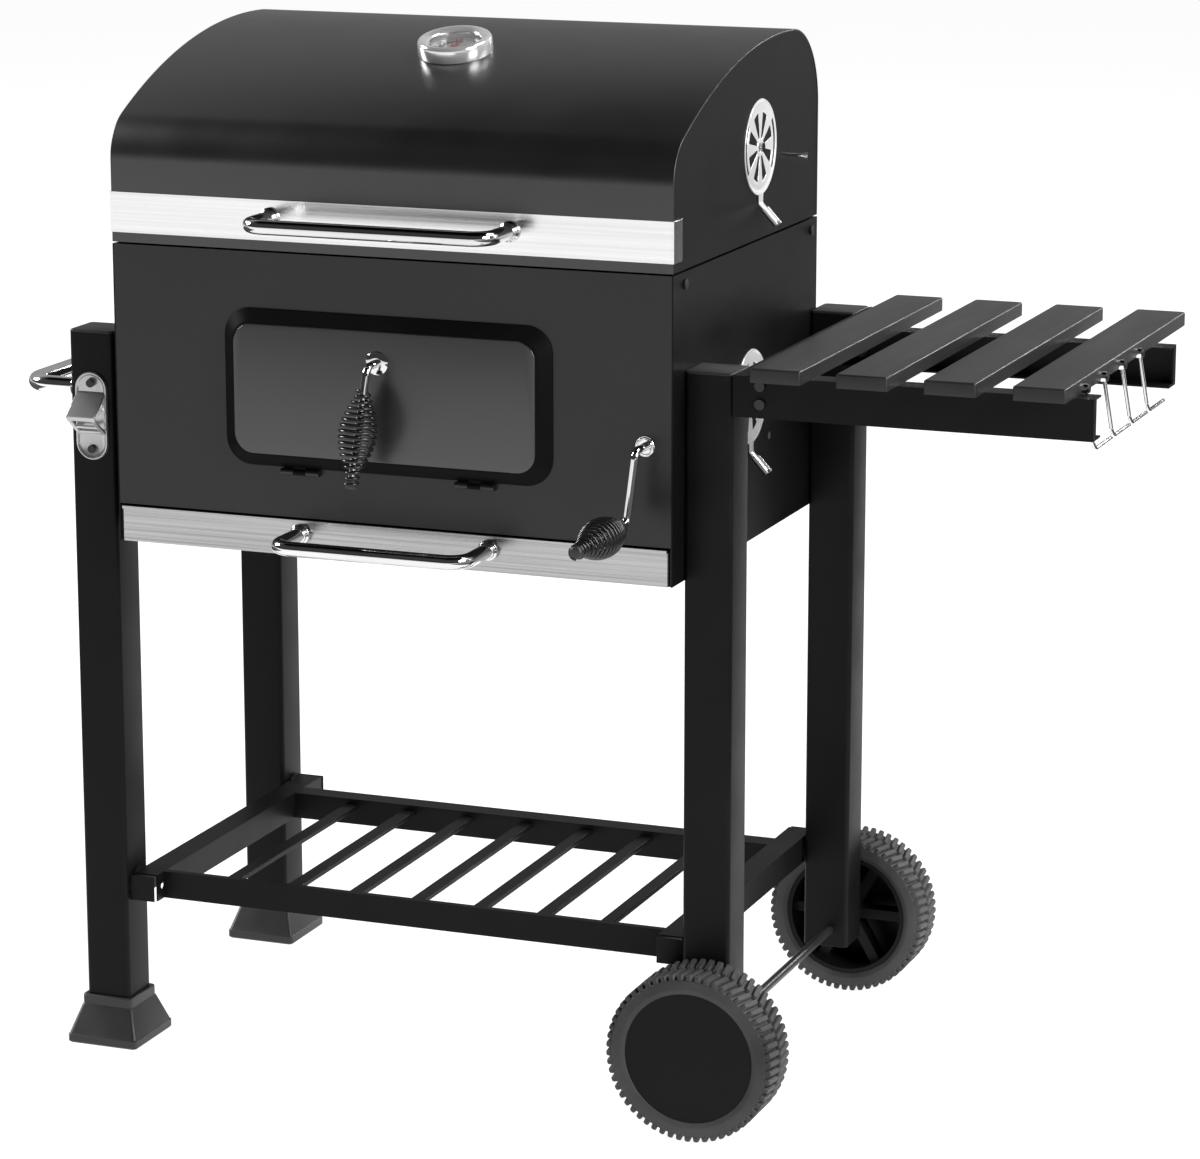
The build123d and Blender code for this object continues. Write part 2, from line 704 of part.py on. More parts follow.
# ---- Crank and coal tray lift ----
with BuildPart() as bush:
    rod((crank_x, -bush_flange_t, crank_z), (crank_x, 0, crank_z), bush_flange_r)
    rod((crank_x, 0, crank_z), (crank_x, sheet, crank_z), bush_r)
    rod((crank_x, sheet, crank_z), (crank_x, bush_end, crank_z), bush_flange_r)
    bore = ((crank_x, -bush_flange_t - 1, crank_z), (crank_x, bush_end + 1, crank_z))
    rod(*bore, spindle_r + fit, Mode.SUBTRACT)
save(bush, "crank_bush")

elbow = (crank_x + crank_lean, -crank_out - elbow_out, crank_z - crank_drop)
crank_tip = (elbow[0], -crank_end + coil_past, elbow[2])
with BuildPart() as crank:
    turns = ((crank_x, thread_end, crank_z), (crank_x, -crank_out, crank_z), elbow, crank_tip)
    bent_rod(turns, spindle_r, crank_bend)
    rod((crank_x, bush_end + 2, crank_z), (crank_x, thread_end, crank_z), thread_r)
save(crank, "crank_rod")
coil_grip(elbow, crank_tip, crank_coil_len, "crank_grip")

nut_out = link_x + link_t + 1
with BuildPart() as nut:
    z = (crank_z - nut_w / 2, crank_z + nut_w / 2)
    block((crank_x - nut_w / 2, crank_x + nut_w / 2), (nut_y - nut_w / 2, nut_y + nut_w / 2), z)
    rod((crank_x, nut_y, crank_z), (nut_out, nut_y, crank_z), pin_r)
    rod((crank_x, nut_y - nut_w, crank_z), (crank_x, nut_y + nut_w, crank_z), thread_r + fit, Mode.SUBTRACT)
save(nut, "lift_nut")


def make_link(side, y, lever, name):
    # A flat link at its lowest position; the lever's slot takes the nut's pin
    face = link_x if side > 0 else -link_x - link_t
    plane = Plane(origin=at(face, y, pivot_z), x_dir=(0, 1, 0), z_dir=(1, 0, 0))
    with BuildPart() as link:
        with BuildSketch(plane):
            with Locations(Location((0, 0), -link_rise)):
                with Locations((link_len / 2, 0)):
                    SlotCenterToCenter(link_len, 2 * link_half)
                if lever:
                    reach = lever_arm / cos(radians(link_rise))
                    with Locations((0, reach / 2)):
                        SlotCenterToCenter(reach, 2 * link_half, rotation=90)
                    with Locations((0, (lever_arm + reach) / 2)):
                        SlotCenterToCenter(
                            reach - lever_arm + slot_play,
                            2 * (pin_r + slot_play),
                            rotation=90,
                            mode=Mode.SUBTRACT,
                        )
                with Locations((0, 0), (link_len, 0)):
                    Circle(pivot_r + fit, mode=Mode.SUBTRACT)
        extrude(amount=link_t)
    save(link, name)


make_link(1, link_y, True, "lift_link_front_right")
make_link(1, link_y + link_pitch, False, "lift_link_rear_right")
make_link(-1, link_y, False, "lift_link_front_left")
make_link(-1, link_y + link_pitch, False, "lift_link_rear_left")

with BuildPart() as studs:
    for side in (-1, 1):
        for y in (link_y, link_y + link_pitch):
            inner = link_x - side_play
            stops = (half, half - sheet, link_x + link_t + side_play, inner, inner - 2)
            radii = (pivot_r, pivot_r + collar_wide, pivot_r, pivot_r + collar_wide)
            for start, end, r in zip(stops, stops[1:], radii):
                rod((side * start, y, pivot_z), (side * end, y, pivot_z), r)
save(studs, "link_studs")

with BuildPart() as tray:
    x, y = (-tray_w / 2, tray_w / 2), (tray_front, tray_front + tray_d)
    block(x, y, (tray_low, tray_low + tray_h))
    hollow = ((x[0] + sheet, x[1] - sheet), (y[0] + sheet, y[1] - sheet))
    block(*hollow, (tray_low + sheet, tray_low + tray_h), Mode.SUBTRACT)
    with BuildSketch(Plane.XY.offset(tray_low)):
        with Locations((cx, fy + tray_front + tray_d / 2)):
            pitch = (tray_w / (tray_slots + 1), tray_d / tray_slot_rows)
            with GridLocations(*pitch, tray_slots, tray_slot_rows):
                SlotOverall(tray_slot_len, tray_slot_w, rotation=90)
    extrude(amount=sheet, mode=Mode.SUBTRACT)
    for side in (-1, 1):
        for py in (tray_pin_y, tray_pin_y + link_pitch):
            wall, stop = side * (tray_w / 2 - sheet / 2), side * (link_x - side_play)
            rod((wall, py, tray_pin_z), (stop, py, tray_pin_z), pivot_r + 2)
            rod((wall, py, tray_pin_z), (side * (nut_out + 1), py, tray_pin_z), pivot_r)
save(tray, "coal_tray")

# ---- Ash drawer ----
pan_low = box_low + sheet + drawer_lift
pan_half = half - 2 * sheet - drawer_side_gap
with BuildPart() as pan:
    block((-pan_half, pan_half), (sheet, sheet + drawer_d), (pan_low, pan_low + drawer_h))
    hollow = ((-pan_half + sheet, pan_half - sheet), (2 * sheet, drawer_d))
    block(*hollow, (pan_low + sheet, pan_low + drawer_h), Mode.SUBTRACT)
    for side in (-1, 1):
        x = drawer_handle_shift + side * drawer_handle_span / 2
        rod((x, 0, drawer_handle_z), (x, 3 * sheet, drawer_handle_z), handle_screw_r, Mode.SUBTRACT)
save(pan, "ash_drawer")

drawer_top = front_low - drawer_gap
with BuildPart() as drawer_front:
    block((-drawer_front_w / 2, drawer_front_w / 2), (0, sheet), (box_low, drawer_top))
    block((-drawer_front_w / 2, drawer_front_w / 2), (-drawer_lip, 0), (drawer_top - drawer_lip, drawer_top))
    for side in (-1, 1):
        x = drawer_handle_shift + side * drawer_handle_span / 2
        rod((x, -1, drawer_handle_z), (x, sheet, drawer_handle_z), handle_screw_r, Mode.SUBTRACT)
save(drawer_front, "drawer_front")


def make_handle(shift, span, out, z, face, wall_back, name):
    # A tube on two posts, bent back to the face, with a collar outside and a nut behind the wall
    left, right = shift - span / 2, shift + span / 2
    with BuildPart() as handle:
        corners = ((left, face, z), (left, -out, z), (right, -out, z), (right, face, z))
        bent_rod(corners, handle_r, handle_bend)
        for x in (left, right):
            rod((x, face, z), (x, face - handle_collar_t, z), handle_collar_r)
            rod((x, face, z), (x, wall_back + handle_nut_t, z), handle_screw_r)
            rod((x, wall_back, z), (x, wall_back + handle_nut_t, z), handle_nut_r)
    save(handle, name)


make_handle(
    drawer_handle_shift, drawer_handle_span, drawer_handle_out, drawer_handle_z, 0, 2 * sheet, "drawer_handle"
)

# ---- Lid ----
with BuildPart() as lid_shell:
    with BuildSketch(Plane.YZ.offset(cx - half)):
        make_face(lid_face(0))
        make_face(lid_face(sheet), mode=Mode.SUBTRACT)
        with Locations((fy + box_d / 2, lid_low)):
            Rectangle(box_d - 2 * sheet, 4, mode=Mode.SUBTRACT)
    extrude(amount=box_w)
    gauge_turn = (gauge_y - lid_peak) / crown_r
    gauge_z = crown_z + crown_r * sqrt(1 - gauge_turn**2)
    gauge_plane = Plane(
        origin=at(0, gauge_y, gauge_z), x_dir=(1, 0, 0), z_dir=(0, gauge_turn, sqrt(1 - gauge_turn**2))
    )
    with Locations(gauge_plane):
        Cylinder(pivot_r, 20, mode=Mode.SUBTRACT)
    for side in (-1, 1):
        x = lid_handle_shift + side * lid_handle_span / 2
        rod((x, -1, lid_handle_z), (x, sheet + 1, lid_handle_z), handle_screw_r, Mode.SUBTRACT)
save(lid_shell, "lid_shell")

with BuildPart() as lid_sides:
    for side in (-1, 1):
        outer = cx + side * (half - side_recess)
        with BuildSketch(Plane.YZ.offset(outer)):
            make_face(lid_face(sheet))
            if side > 0:
                windows(*lid_vent_place, window_turn - vent_seal, Mode.SUBTRACT)
                with Locations(*[(fy + y, z) for y, z in (lid_vent_place, side_pin)]):
                    Circle(vent_pivot_r, mode=Mode.SUBTRACT)
        extrude(amount=-side * sheet)
save(lid_sides, "lid_sides")

with BuildPart() as band:
    z = (band_low, band_low + band_h)
    block((-half - band_t, half + band_t), (-band_t, band_wrap), z)
    block((-half, half), (0, band_wrap), z, Mode.SUBTRACT)
    for side in (-1, 1):
        x = lid_handle_shift + side * lid_handle_span / 2
        rod((x, -band_t - 1, lid_handle_z), (x, 1, lid_handle_z), handle_screw_r, Mode.SUBTRACT)
save(band, "lid_band")
make_handle(lid_handle_shift, lid_handle_span, lid_handle_out, lid_handle_z, -band_t, sheet, "lid_handle")

hinge_axis = (box_d + hinge_back, box_top + lid_gap / 2)
for part_name, up in (("lid_hinge_leaves", 1), ("firebox_hinges", -1)):
    with BuildPart() as leaves:
        y, z = hinge_axis
        for x in (-hinge_x, hinge_x):
            leaf = sorted((z + up * hinge_leaf_off, z + up * hinge_leaf_h))
            block((x - hinge_w / 2, x + hinge_w / 2), (box_d, box_d + hinge_leaf_t), leaf)
            if up > 0:
                pieces = ((x - hinge_w / 6 + vent_gap, x + hinge_w / 6 - vent_gap),)
            else:
                pieces = ((x - hinge_w / 2, x - hinge_w / 6), (x + hinge_w / 6, x + hinge_w / 2))
            for piece in pieces:
                rod((piece[0], y, z), (piece[1], y, z), hinge_r)
                block(piece, (box_d, y), sorted((z + up, z + up * hinge_r)))
                block(piece, (box_d, box_d + hinge_leaf_t), sorted((z + up, z + up * hinge_leaf_off)))
            ends = ((x - hinge_w / 2, y, z), (x + hinge_w / 2, y, z))
            if up > 0:
                rod(*ends, hinge_pin_r + fit, Mode.SUBTRACT)
            else:
                rod(*ends, hinge_pin_r)
    save(leaves, part_name)

with BuildPart() as lid_studs:
    x = half - side_recess
    head = x + vent_gap + vent_t + fit
    rod((x - sheet, *lid_vent_place), (head, *lid_vent_place), vent_pivot_r)
    rivet = (head + rivet_head_t, *lid_vent_place)
    rod((head, *lid_vent_place), rivet, vent_pivot_r + rivet_head_wide)
    tip = x + side_pin_out
    rod((x - sheet, *side_pin), (tip, *side_pin), vent_pivot_r)
    rod((tip - side_pin_head_t, *side_pin), (tip, *side_pin), vent_pivot_r + side_pin_head)
save(lid_studs, "lid_studs")

# ---- Thermometer ----
stands = (Align.CENTER, Align.CENTER, Align.MIN)
with BuildPart() as bezel:
    with Locations(gauge_plane):
        Cylinder(gauge_r, gauge_h, align=stands)
    chamfer(bezel.edges().filter_by(GeomType.CIRCLE).group_by(Axis.Z)[-1], 1.5)
    with Locations(gauge_plane.offset(gauge_floor)):
        Cylinder(gauge_r - gauge_lip, gauge_h, align=stands, mode=Mode.SUBTRACT)
    with Locations(gauge_plane.offset(-gauge_stem)):
        Cylinder(pivot_r, gauge_stem, align=stands)
    with Locations(gauge_plane.offset(-sheet - 0.1 - gauge_nut_t)):
        Cylinder(pivot_r + gauge_nut_wall, gauge_nut_t, align=stands)
save(bezel, "thermometer_case")

with BuildPart() as dial:
    with Locations(gauge_plane.offset(gauge_floor)):
        Cylinder(gauge_r - gauge_lip, dial_t, align=stands)
        Cylinder(door_pin_r, dial_t + 2 * needle_up + 2 * needle_t, align=stands)
save(dial, "thermometer_dial")

with BuildPart() as needle:
    with BuildSketch(gauge_plane.offset(gauge_floor + dial_t + needle_up)):
        Circle(needle_hub_r)
        Polygon((-1.5, 0), (1.5, 0), (0.5, needle_len), (-0.5, needle_len), align=None)
        Polygon((-2, 0), (2, 0), (2.5, -needle_len / 3), (-2.5, -needle_len / 3), align=None)
        Circle(door_pin_r + fit, mode=Mode.SUBTRACT)
    extrude(amount=needle_t)
save(needle, "thermometer_needle")

with BuildPart() as glass:
    with Locations(gauge_plane.offset(gauge_h - glass_down)):
        Cylinder(gauge_r - gauge_lip, glass_t, align=stands)
save(glass, "thermometer_glass")

# ---- Air vents ----
slot_arc = CenterArc((0, 0), vent_slot_r, -vent_slot_half, 2 * vent_slot_half)
slot_arc_back = CenterArc((0, 0), vent_slot_r, 180 - vent_slot_half, 2 * vent_slot_half)


def make_vent(face, yc, zc, name):
    # A turning disc with a lever that is bent outwards and ends in a channel grip
    inner = face + vent_gap
    bend = (inner + vent_t / 2, zc - vent_r - lever_drop)
    way = (sin(radians(lever_turn)), -cos(radians(lever_turn)))
    end = (bend[0] + way[0] * lever_len, bend[1] + way[1] * lever_len)
    grip_start = (end[0] - way[0] * grip_len, end[1] - way[1] * grip_len)
    with BuildPart() as vent:
        with BuildSketch(Plane.YZ.offset(cx + inner)):
            with Locations((fy + yc, zc)):
                Circle(vent_r)
            windows(yc, zc, window_turn, Mode.SUBTRACT, window_turn)
            with Locations((fy + yc, zc)):
                SlotArc(slot_arc, vent_slot_w, mode=Mode.SUBTRACT)
                SlotArc(slot_arc_back, vent_slot_w, mode=Mode.SUBTRACT)
                Circle(vent_pivot_r + fit, mode=Mode.SUBTRACT)
        extrude(amount=vent_t)
        with BuildLine() as tab:
            Polyline((cx + bend[0], zc - vent_r + 2), (cx + bend[0], bend[1]), (cx + end[0], end[1]))
        with BuildSketch(Plane.XZ.offset(-(fy + yc))) as strip:
            trace(tab.line, vent_t)
        extrude(strip.sketch, amount=lever_w / 2, both=True)
        with BuildLine() as grip_line:
            Line((cx + grip_start[0], grip_start[1]), (cx + end[0], end[1]))
        with BuildSketch(Plane.XZ.offset(-(fy + yc))) as grip:
            trace(grip_line.line, grip_t)
        extrude(grip.sketch, amount=grip_w / 2, both=True)
    save(vent, name)


make_vent(half - side_recess, *lid_vent_place, "lid_vent")
make_vent(half, *box_vent_place, "firebox_vent")

# ---- Cooking grates ----
for side, name in ((-1, "grate_left"), (1, "grate_right")):
    low = box_top - ledge_drop
    z = low + grate_frame_r
    x = sorted((side * grate_split, side * (grate_split + grate_w)))
    x = (x[0] + grate_frame_r, x[1] - grate_frame_r)
    y = ((box_d - grate_d) / 2 + grate_frame_r, (box_d + grate_d) / 2 - grate_frame_r)
    with BuildPart() as grate:
        r = grate_frame_r
        block((x[0] - r, x[1] + r), (y[0] - r, y[1] + r), (low, low + 2 * r))
        block((x[0] + r, x[1] - r), (y[0] + r, y[1] - r), (low, low + 2 * r), Mode.SUBTRACT)
        for i in range(grate_bars):
            bx = x[0] + (x[1] - x[0]) * (i + 1) / (grate_bars + 1)
            rod((bx, y[0], z), (bx, y[1], z), grate_bar_r)
    save(grate, name)

# ---- Side table ----
slat_x = [right_face + first_slat + i * slat_pitch for i in range(slat_count)]
with BuildPart() as slats:
    for x in slat_x:
        block((x, x + slat_w), slat_y, (slat_low, table_top))
        hollow = (slat_y[0] + sheet, slat_y[1] - sheet)
        block((x + sheet, x + slat_w - sheet), hollow, (slat_low, table_top - sheet), Mode.SUBTRACT)
save(slats, "table_slats")

arm_low = slat_low - arm_h
arm_bolt_z = (arm_low + arm_bolt_low, slat_low - arm_bolt_high)
with BuildPart() as table_frame:
    x = (right_face, right_face + table_rail_t)
    block(x, (leg_front, leg_rear + leg), (arm_low, slat_low))
    for web, inner in ((leg_front, 1), (rear_arm_y + arm_d, -1)):
        run = (x[1], right_reach)
        block(run, sorted((web, web + inner * arm_t)), (arm_low, slat_low))
        for z in ((arm_low, arm_low + arm_t), (slat_low - arm_t, slat_low)):
            block(run, sorted((web, web + inner * arm_d)), z)
        block((right_reach - arm_t, right_reach), sorted((web, web + inner * arm_fold)), (arm_low, slat_low))
        for z in arm_bolt_z:
            bolt_x = x[1] + arm_bolt_in
            rod((bolt_x, web - inner, z), (bolt_x, web + inner * arm_t * 2, z), bolt_r, Mode.SUBTRACT)
    for y in (leg_front + leg / 2, leg_rear + leg / 2):
        rod((right_face - 1, y, table_top - arm_h), (x[1] + 1, y, table_top - arm_h), bolt_r, Mode.SUBTRACT)
save(table_frame, "table_frame")

slat_edge = slat_x[-1] + slat_w
eye_z = slat_low + hook_eye_up
hook_y = [leg_front + hook_first + i * hook_pitch for i in range(hook_count)]
with BuildPart() as hooks:
    for y in hook_y:
        start = (slat_edge + hook_r, y, eye_z + hook_r)
        foot = (slat_edge + hook_r + hook_splay, y, eye_z - hook_drop)
        bent_rod((start, foot, (foot[0], y + hook_foot, foot[2])), hook_r, hook_bend)
        rod((slat_edge, y, eye_z), (slat_edge + hook_eye_t, y, eye_z), hook_eye_r)
save(hooks, "tool_hooks")

# ---- Push handle and bottle opener ----
with BuildPart() as push:
    x, ends = left_face - push_out, (leg_front + leg / 2, leg_rear + leg / 2)
    corners = ((left_face, ends[0]), (x, ends[0]), (x, ends[1]), (left_face, ends[1]))
    bent_rod([(*corner, push_z) for corner in corners], push_r, push_bend)
    for y in ends:
        rod((left_face, y, push_z), (left_face - push_flange_t, y, push_z), push_r + push_flange_wide)
save(push, "push_handle")

opener_x = left_face + leg / 2
with BuildPart() as opener:
    with BuildSketch(Plane.XZ.offset(-(fy + leg_front))):
        with Locations((cx + opener_x, opener_low + opener_h / 2)):
            SlotOverall(opener_h, opener_w, rotation=90)
    extrude(amount=opener_t)
    with BuildLine() as hood:
        Polyline(
            (fy + leg_front - opener_t, opener_low + opener_h * 0.78),
            (fy + leg_front - opener_nose, opener_low + opener_h * 0.62),
            (fy + leg_front - opener_nose + 4, opener_low + opener_h * 0.45),
            (fy + leg_front - opener_t, opener_low + opener_h * 0.36),
        )
    with BuildSketch(Plane.YZ.offset(cx + opener_x)) as fold:
        trace(hood.line, opener_t)
    extrude(fold.sketch, amount=opener_w / 2 - 2, both=True)
    inside_leg = ((leg_front, leg_front + leg), (opener_low, opener_low + opener_h))
    block((opener_x - opener_w, opener_x + opener_w), *inside_leg, Mode.SUBTRACT)
save(opener, "bottle_opener")

# ---- Fasteners ----
with BuildPart() as bolts:
    for x, y, low in leg_places.values():
        side = -1 if x < 0 else 1
        inner = -half - left_gap if x < 0 else half
        for z in leg_bolt_z:
            wall, end = side * (half - sheet), inner + side * (leg_wall + bolt_end)
            if y > box_d / 2:
                wall -= side * sheet
            rod((wall, bolt_y(y), z), (end, bolt_y(y), z), bolt_r)
            rod((wall, bolt_y(y), z), (wall - side * bolt_head_t, bolt_y(y), z), bolt_head_r)
            rod((inner + side * leg_wall, bolt_y(y), z), (end, bolt_y(y), z), bolt_head_r)
        middle = (y + leg / 2, shelf_low + rail_h / 2)
        start, end = inner - side * (ear_t + rail_wall), inner + side * (leg_wall + bolt_end)
        rod((start, *middle), (end, *middle), bolt_r)
        rod((start, *middle), (start - side * bolt_head_t, *middle), bolt_head_r)
        rod((inner + side * leg_wall, *middle), (end, *middle), bolt_head_r)
        if side > 0:
            middle = (y + leg / 2, table_top - arm_h)
            rod((right_face, *middle), (right_face + table_rail_t, *middle), bolt_r)
            start = right_face + table_rail_t
            rod((start, *middle), (start + bolt_head_t, *middle), bolt_head_r)
    for web, inner in ((leg_front, 1), (rear_arm_y + arm_d, -1)):
        for z in arm_bolt_z:
            x = right_face + table_rail_t + arm_bolt_in
            rod((x, web, z), (x, web + inner * arm_t, z), bolt_r)
            rod((x, web - inner * 3, z), (x, web, z), bolt_head_r - 1)
            rod((x, web + inner * arm_t, z), (x, web + inner * (arm_t + 4), z), bolt_head_r)
save(bolts, "frame_bolts")

with BuildPart() as screws:
    for side in (-1, 1):
        for y in (corner_screw_in, box_d - rear_screw_in):
            z = box_top - corner_screw_down
            rod((side * (half - 2 * sheet), y, z), (side * half, y, z), screw_r)
            rod((side * half, y, z), (side * (half + screw_head_t), y, z), screw_head_r)
    for z in (opener_low + opener_screw_in, opener_low + opener_h - opener_screw_in):
        y = leg_front - opener_t
        rod((opener_x, y - screw_head_t, z), (opener_x, y, z), opener_screw_r)
    for y in hook_y:
        eye_end = slat_edge + hook_eye_t
        rod((eye_end, y, eye_z), (eye_end + rivet_head_t, y, eye_z), hook_eye_r - 1)
    head = half + vent_gap + vent_t + fit
    rod((half - sheet, *box_vent_place), (head, *box_vent_place), vent_pivot_r)
    tip = (head + rivet_head_t, *box_vent_place)
    rod((head, *box_vent_place), tip, vent_pivot_r + rivet_head_wide)
save(screws, "screws_and_rivets")
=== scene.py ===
# Charcoal grill cart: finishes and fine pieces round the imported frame
import json
from math import acos, asin, cos, pi, radians, sin, sqrt

import bmesh
import bpy
import numpy as np
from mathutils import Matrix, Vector


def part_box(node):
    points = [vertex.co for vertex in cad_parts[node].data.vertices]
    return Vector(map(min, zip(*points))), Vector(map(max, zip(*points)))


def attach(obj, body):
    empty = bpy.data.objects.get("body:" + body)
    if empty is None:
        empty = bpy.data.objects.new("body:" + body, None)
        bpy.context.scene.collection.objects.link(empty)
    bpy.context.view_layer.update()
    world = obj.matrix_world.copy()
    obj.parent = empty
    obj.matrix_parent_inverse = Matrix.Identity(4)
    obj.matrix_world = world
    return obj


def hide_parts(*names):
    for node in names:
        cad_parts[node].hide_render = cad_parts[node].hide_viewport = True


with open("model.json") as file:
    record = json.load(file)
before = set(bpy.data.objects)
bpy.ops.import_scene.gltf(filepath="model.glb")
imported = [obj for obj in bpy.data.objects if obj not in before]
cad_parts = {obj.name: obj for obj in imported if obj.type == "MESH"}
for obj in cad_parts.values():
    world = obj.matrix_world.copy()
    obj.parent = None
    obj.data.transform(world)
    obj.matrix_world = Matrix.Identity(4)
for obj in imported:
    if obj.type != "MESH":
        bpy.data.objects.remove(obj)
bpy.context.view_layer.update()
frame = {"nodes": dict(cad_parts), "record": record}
nodes = frame["nodes"]
slotOf = {part["node"]: part["material_slot"] for part in frame["record"]["subparts"]}
bodyOf = {node: body for body, members in frame["record"]["behaviour"]["bodies"].items() for node in members}
mm = 0.001
print("frame loaded:", len(nodes), "nodes")

# finishes
# colour and its mottle, roughness and its spread, size of the grain in marks per metre, height of the grain
# in mm, and how far the grain is drawn out along each axis; shine is how strongly a coat mirrors, streak how
# much brushed lines differ in colour
finishes = {
    "black_steel": {"colour": 0.007, "rough": 0.38, "spread": 0.07, "grain": 700, "height": 0.02},
    # a darker, duller copy of the black paint for the side panels of the firebox and lid: painted shade
    "side_painted_shade": {
        "colour": 0.004, "rough": 0.40, "spread": 0.08, "grain": 600, "height": 0.015, "shine": 0.15,
    },
    "leg_coat": {"colour": 0.006, "rough": 0.42, "spread": 0.08, "grain": 700, "height": 0.02, "shine": 0.12},
    # a darker, almost mirrorless copy of the black paint for the door's pressed bevel band and hinge
    # knuckles: painted shade
    "door_painted_shade": {
        "colour": 0.004, "rough": 0.45, "spread": 0.08, "grain": 500, "height": 0.01, "shine": 0.05,
    },
    "dark_bolt": {"colour": 0.012, "rough": 0.35, "spread": 0.08, "grain": 700, "height": 0.01},
    "lid_enamel": {
        "colour": 0.006, "rough": 0.30, "spread": 0.05, "grain": 500, "height": 0.012, "shine": 1.0,
    },
    "slat_coat": {
        "colour": 0.018, "rough": 0.36, "spread": 0.12, "grain": 900, "height": 0.03, "draw": (1, 0.15, 1),
        "shine": 0.42,
    },
    "brushed_steel": {
        "colour": 0.78, "rough": 0.30, "spread": 0.16, "grain": 900, "height": 0.012, "metal": 1,
        "draw": (0.006, 1, 1), "streak": 0.3,
    },
    "band_steel": {
        "colour": 0.99, "rough": 0.22, "spread": 0.08, "grain": 700, "height": 0.006, "metal": 1,
        "draw": (0.006, 1, 1), "streak": 0.08,
    },
    "drawer_steel": {
        "colour": 0.50, "rough": 0.30, "spread": 0.16, "grain": 900, "height": 0.012, "metal": 1,
        "draw": (0.006, 1, 1), "streak": 0.35,
    },
    "chrome": {"colour": 0.82, "rough": 0.07, "spread": 0.04, "grain": 60, "height": 0.0, "metal": 1},
    # chrome made partly diffuse and near-white: a painted highlight that keeps the vents bright where chrome
    # would mirror the dark panels
    "vent_steel_painted_highlight": {"colour": 0.80, "rough": 0.16, "spread": 0.06, "grain": 200, "height": 0.0, "metal": 0.35},
    "case_steel": {"colour": 0.85, "rough": 0.14, "spread": 0.05, "grain": 200, "height": 0.0, "metal": 0.7},
    "opener_steel": {
        "colour": 0.55, "rough": 0.20, "spread": 0.10, "grain": 300, "height": 0.01, "metal": 0.6,
    },
    "cap_plastic": {
        "colour": 0.006, "rough": 0.42, "spread": 0.06, "grain": 600, "height": 0.01, "shine": 0.12,
    },
    "black_plastic": {"colour": 0.022, "rough": 0.46, "spread": 0.08, "grain": 900, "height": 0.03},
    "tyre_plastic": {
        "colour": 0.036, "rough": 0.60, "spread": 0.15, "grain": 450, "height": 0.18, "mottle": 0.65,
    },
    "black_wire": {"colour": 0.010, "rough": 0.20, "spread": 0.06, "grain": 400, "height": 0.01},
    "zinc": {"colour": 0.50, "rough": 0.34, "spread": 0.12, "grain": 800, "height": 0.01, "metal": 1},
    "grate_steel": {"colour": 0.60, "rough": 0.22, "spread": 0.08, "grain": 300, "height": 0.01, "metal": 1},
    "dial_face": {"colour": 0.72, "rough": 0.35, "spread": 0.08, "grain": 500, "height": 0.005, "metal": 0.4},
    "needle_red": {
        "colour": 0.50, "rough": 0.40, "spread": 0.05, "grain": 500, "height": 0.0, "tint": (1, 0.05, 0.04),
    },
    "gauge_glass": {"colour": 1.0, "rough": 0.02, "spread": 0.02, "grain": 40, "height": 0.0, "clear": 1},
}


def makeFinish(name, colour, rough, spread, grain, height, metal=0.0, draw=(1, 1, 1), mottle=0.18, streak=0.0,
               tint=(1, 1, 1), clear=0.0, shine=0.5, glow=0.0):
    # Noise on object coordinates breaks up colour, gloss and height; a drawn-out noise gives brushed lines
    material = bpy.data.materials.new(name)
    material.use_nodes = True
    tree = material.node_tree
    shader = tree.nodes["Principled BSDF"]
    shader.inputs["Metallic"].default_value = metal
    shader.inputs["Transmission Weight"].default_value = clear
    shader.inputs["IOR"].default_value = 1.5
    shader.inputs["Specular IOR Level"].default_value = shine
    shader.inputs["Emission Color"].default_value = (1, 1, 1, 1)
    shader.inputs["Emission Strength"].default_value = glow
    place = tree.nodes.new("ShaderNodeTexCoord")
    mapping = tree.nodes.new("ShaderNodeMapping")
    mapping.inputs["Scale"].default_value = draw
    tree.links.new(place.outputs["Object"], mapping.inputs["Vector"])

    def noise(scale, detail):
        node = tree.nodes.new("ShaderNodeTexNoise")
        node.inputs["Scale"].default_value = scale
        node.inputs["Detail"].default_value = detail
        tree.links.new(mapping.outputs["Vector"], node.inputs["Vector"])
        return node.outputs["Fac"]

    def spreadOver(source, low, high):
        node = tree.nodes.new("ShaderNodeMapRange")
        for label, value in (("From Min", 0.3), ("From Max", 0.7), ("To Min", low), ("To Max", high)):
            node.inputs[label].default_value = value
        tree.links.new(source, node.inputs["Value"])
        return node.outputs["Result"]

    fine, broad = noise(grain, 3), noise(grain / 40 if streak == 0 else grain / 2, 5)
    gloss = spreadOver(broad, max(rough - spread / 2, 0.02), rough + spread / 2)
    tree.links.new(gloss, shader.inputs["Roughness"])
    mix = tree.nodes.new("ShaderNodeMix")
    mix.data_type = "RGBA"
    low, high = colour * (1 - max(mottle, streak)), min(colour * (1 + mottle), 1)
    mix.inputs["A"].default_value = (*(low * t for t in tint), 1)
    mix.inputs["B"].default_value = (*(high * t for t in tint), 1)
    tree.links.new(spreadOver(broad, 0, 1), mix.inputs["Factor"])
    tree.links.new(mix.outputs["Result"], shader.inputs["Base Color"])
    if height > 0:
        bump = tree.nodes.new("ShaderNodeBump")
        bump.inputs["Distance"].default_value = height * mm
        tree.links.new(fine, bump.inputs["Height"])
        tree.links.new(bump.outputs["Normal"], shader.inputs["Normal"])
    return material


materials = {name: makeFinish(name, **settings) for name, settings in finishes.items()}
for name, node in nodes.items():
    node.data.materials.clear()
    node.data.materials.append(materials[slotOf[name]])
print("finishes made:", len(materials))


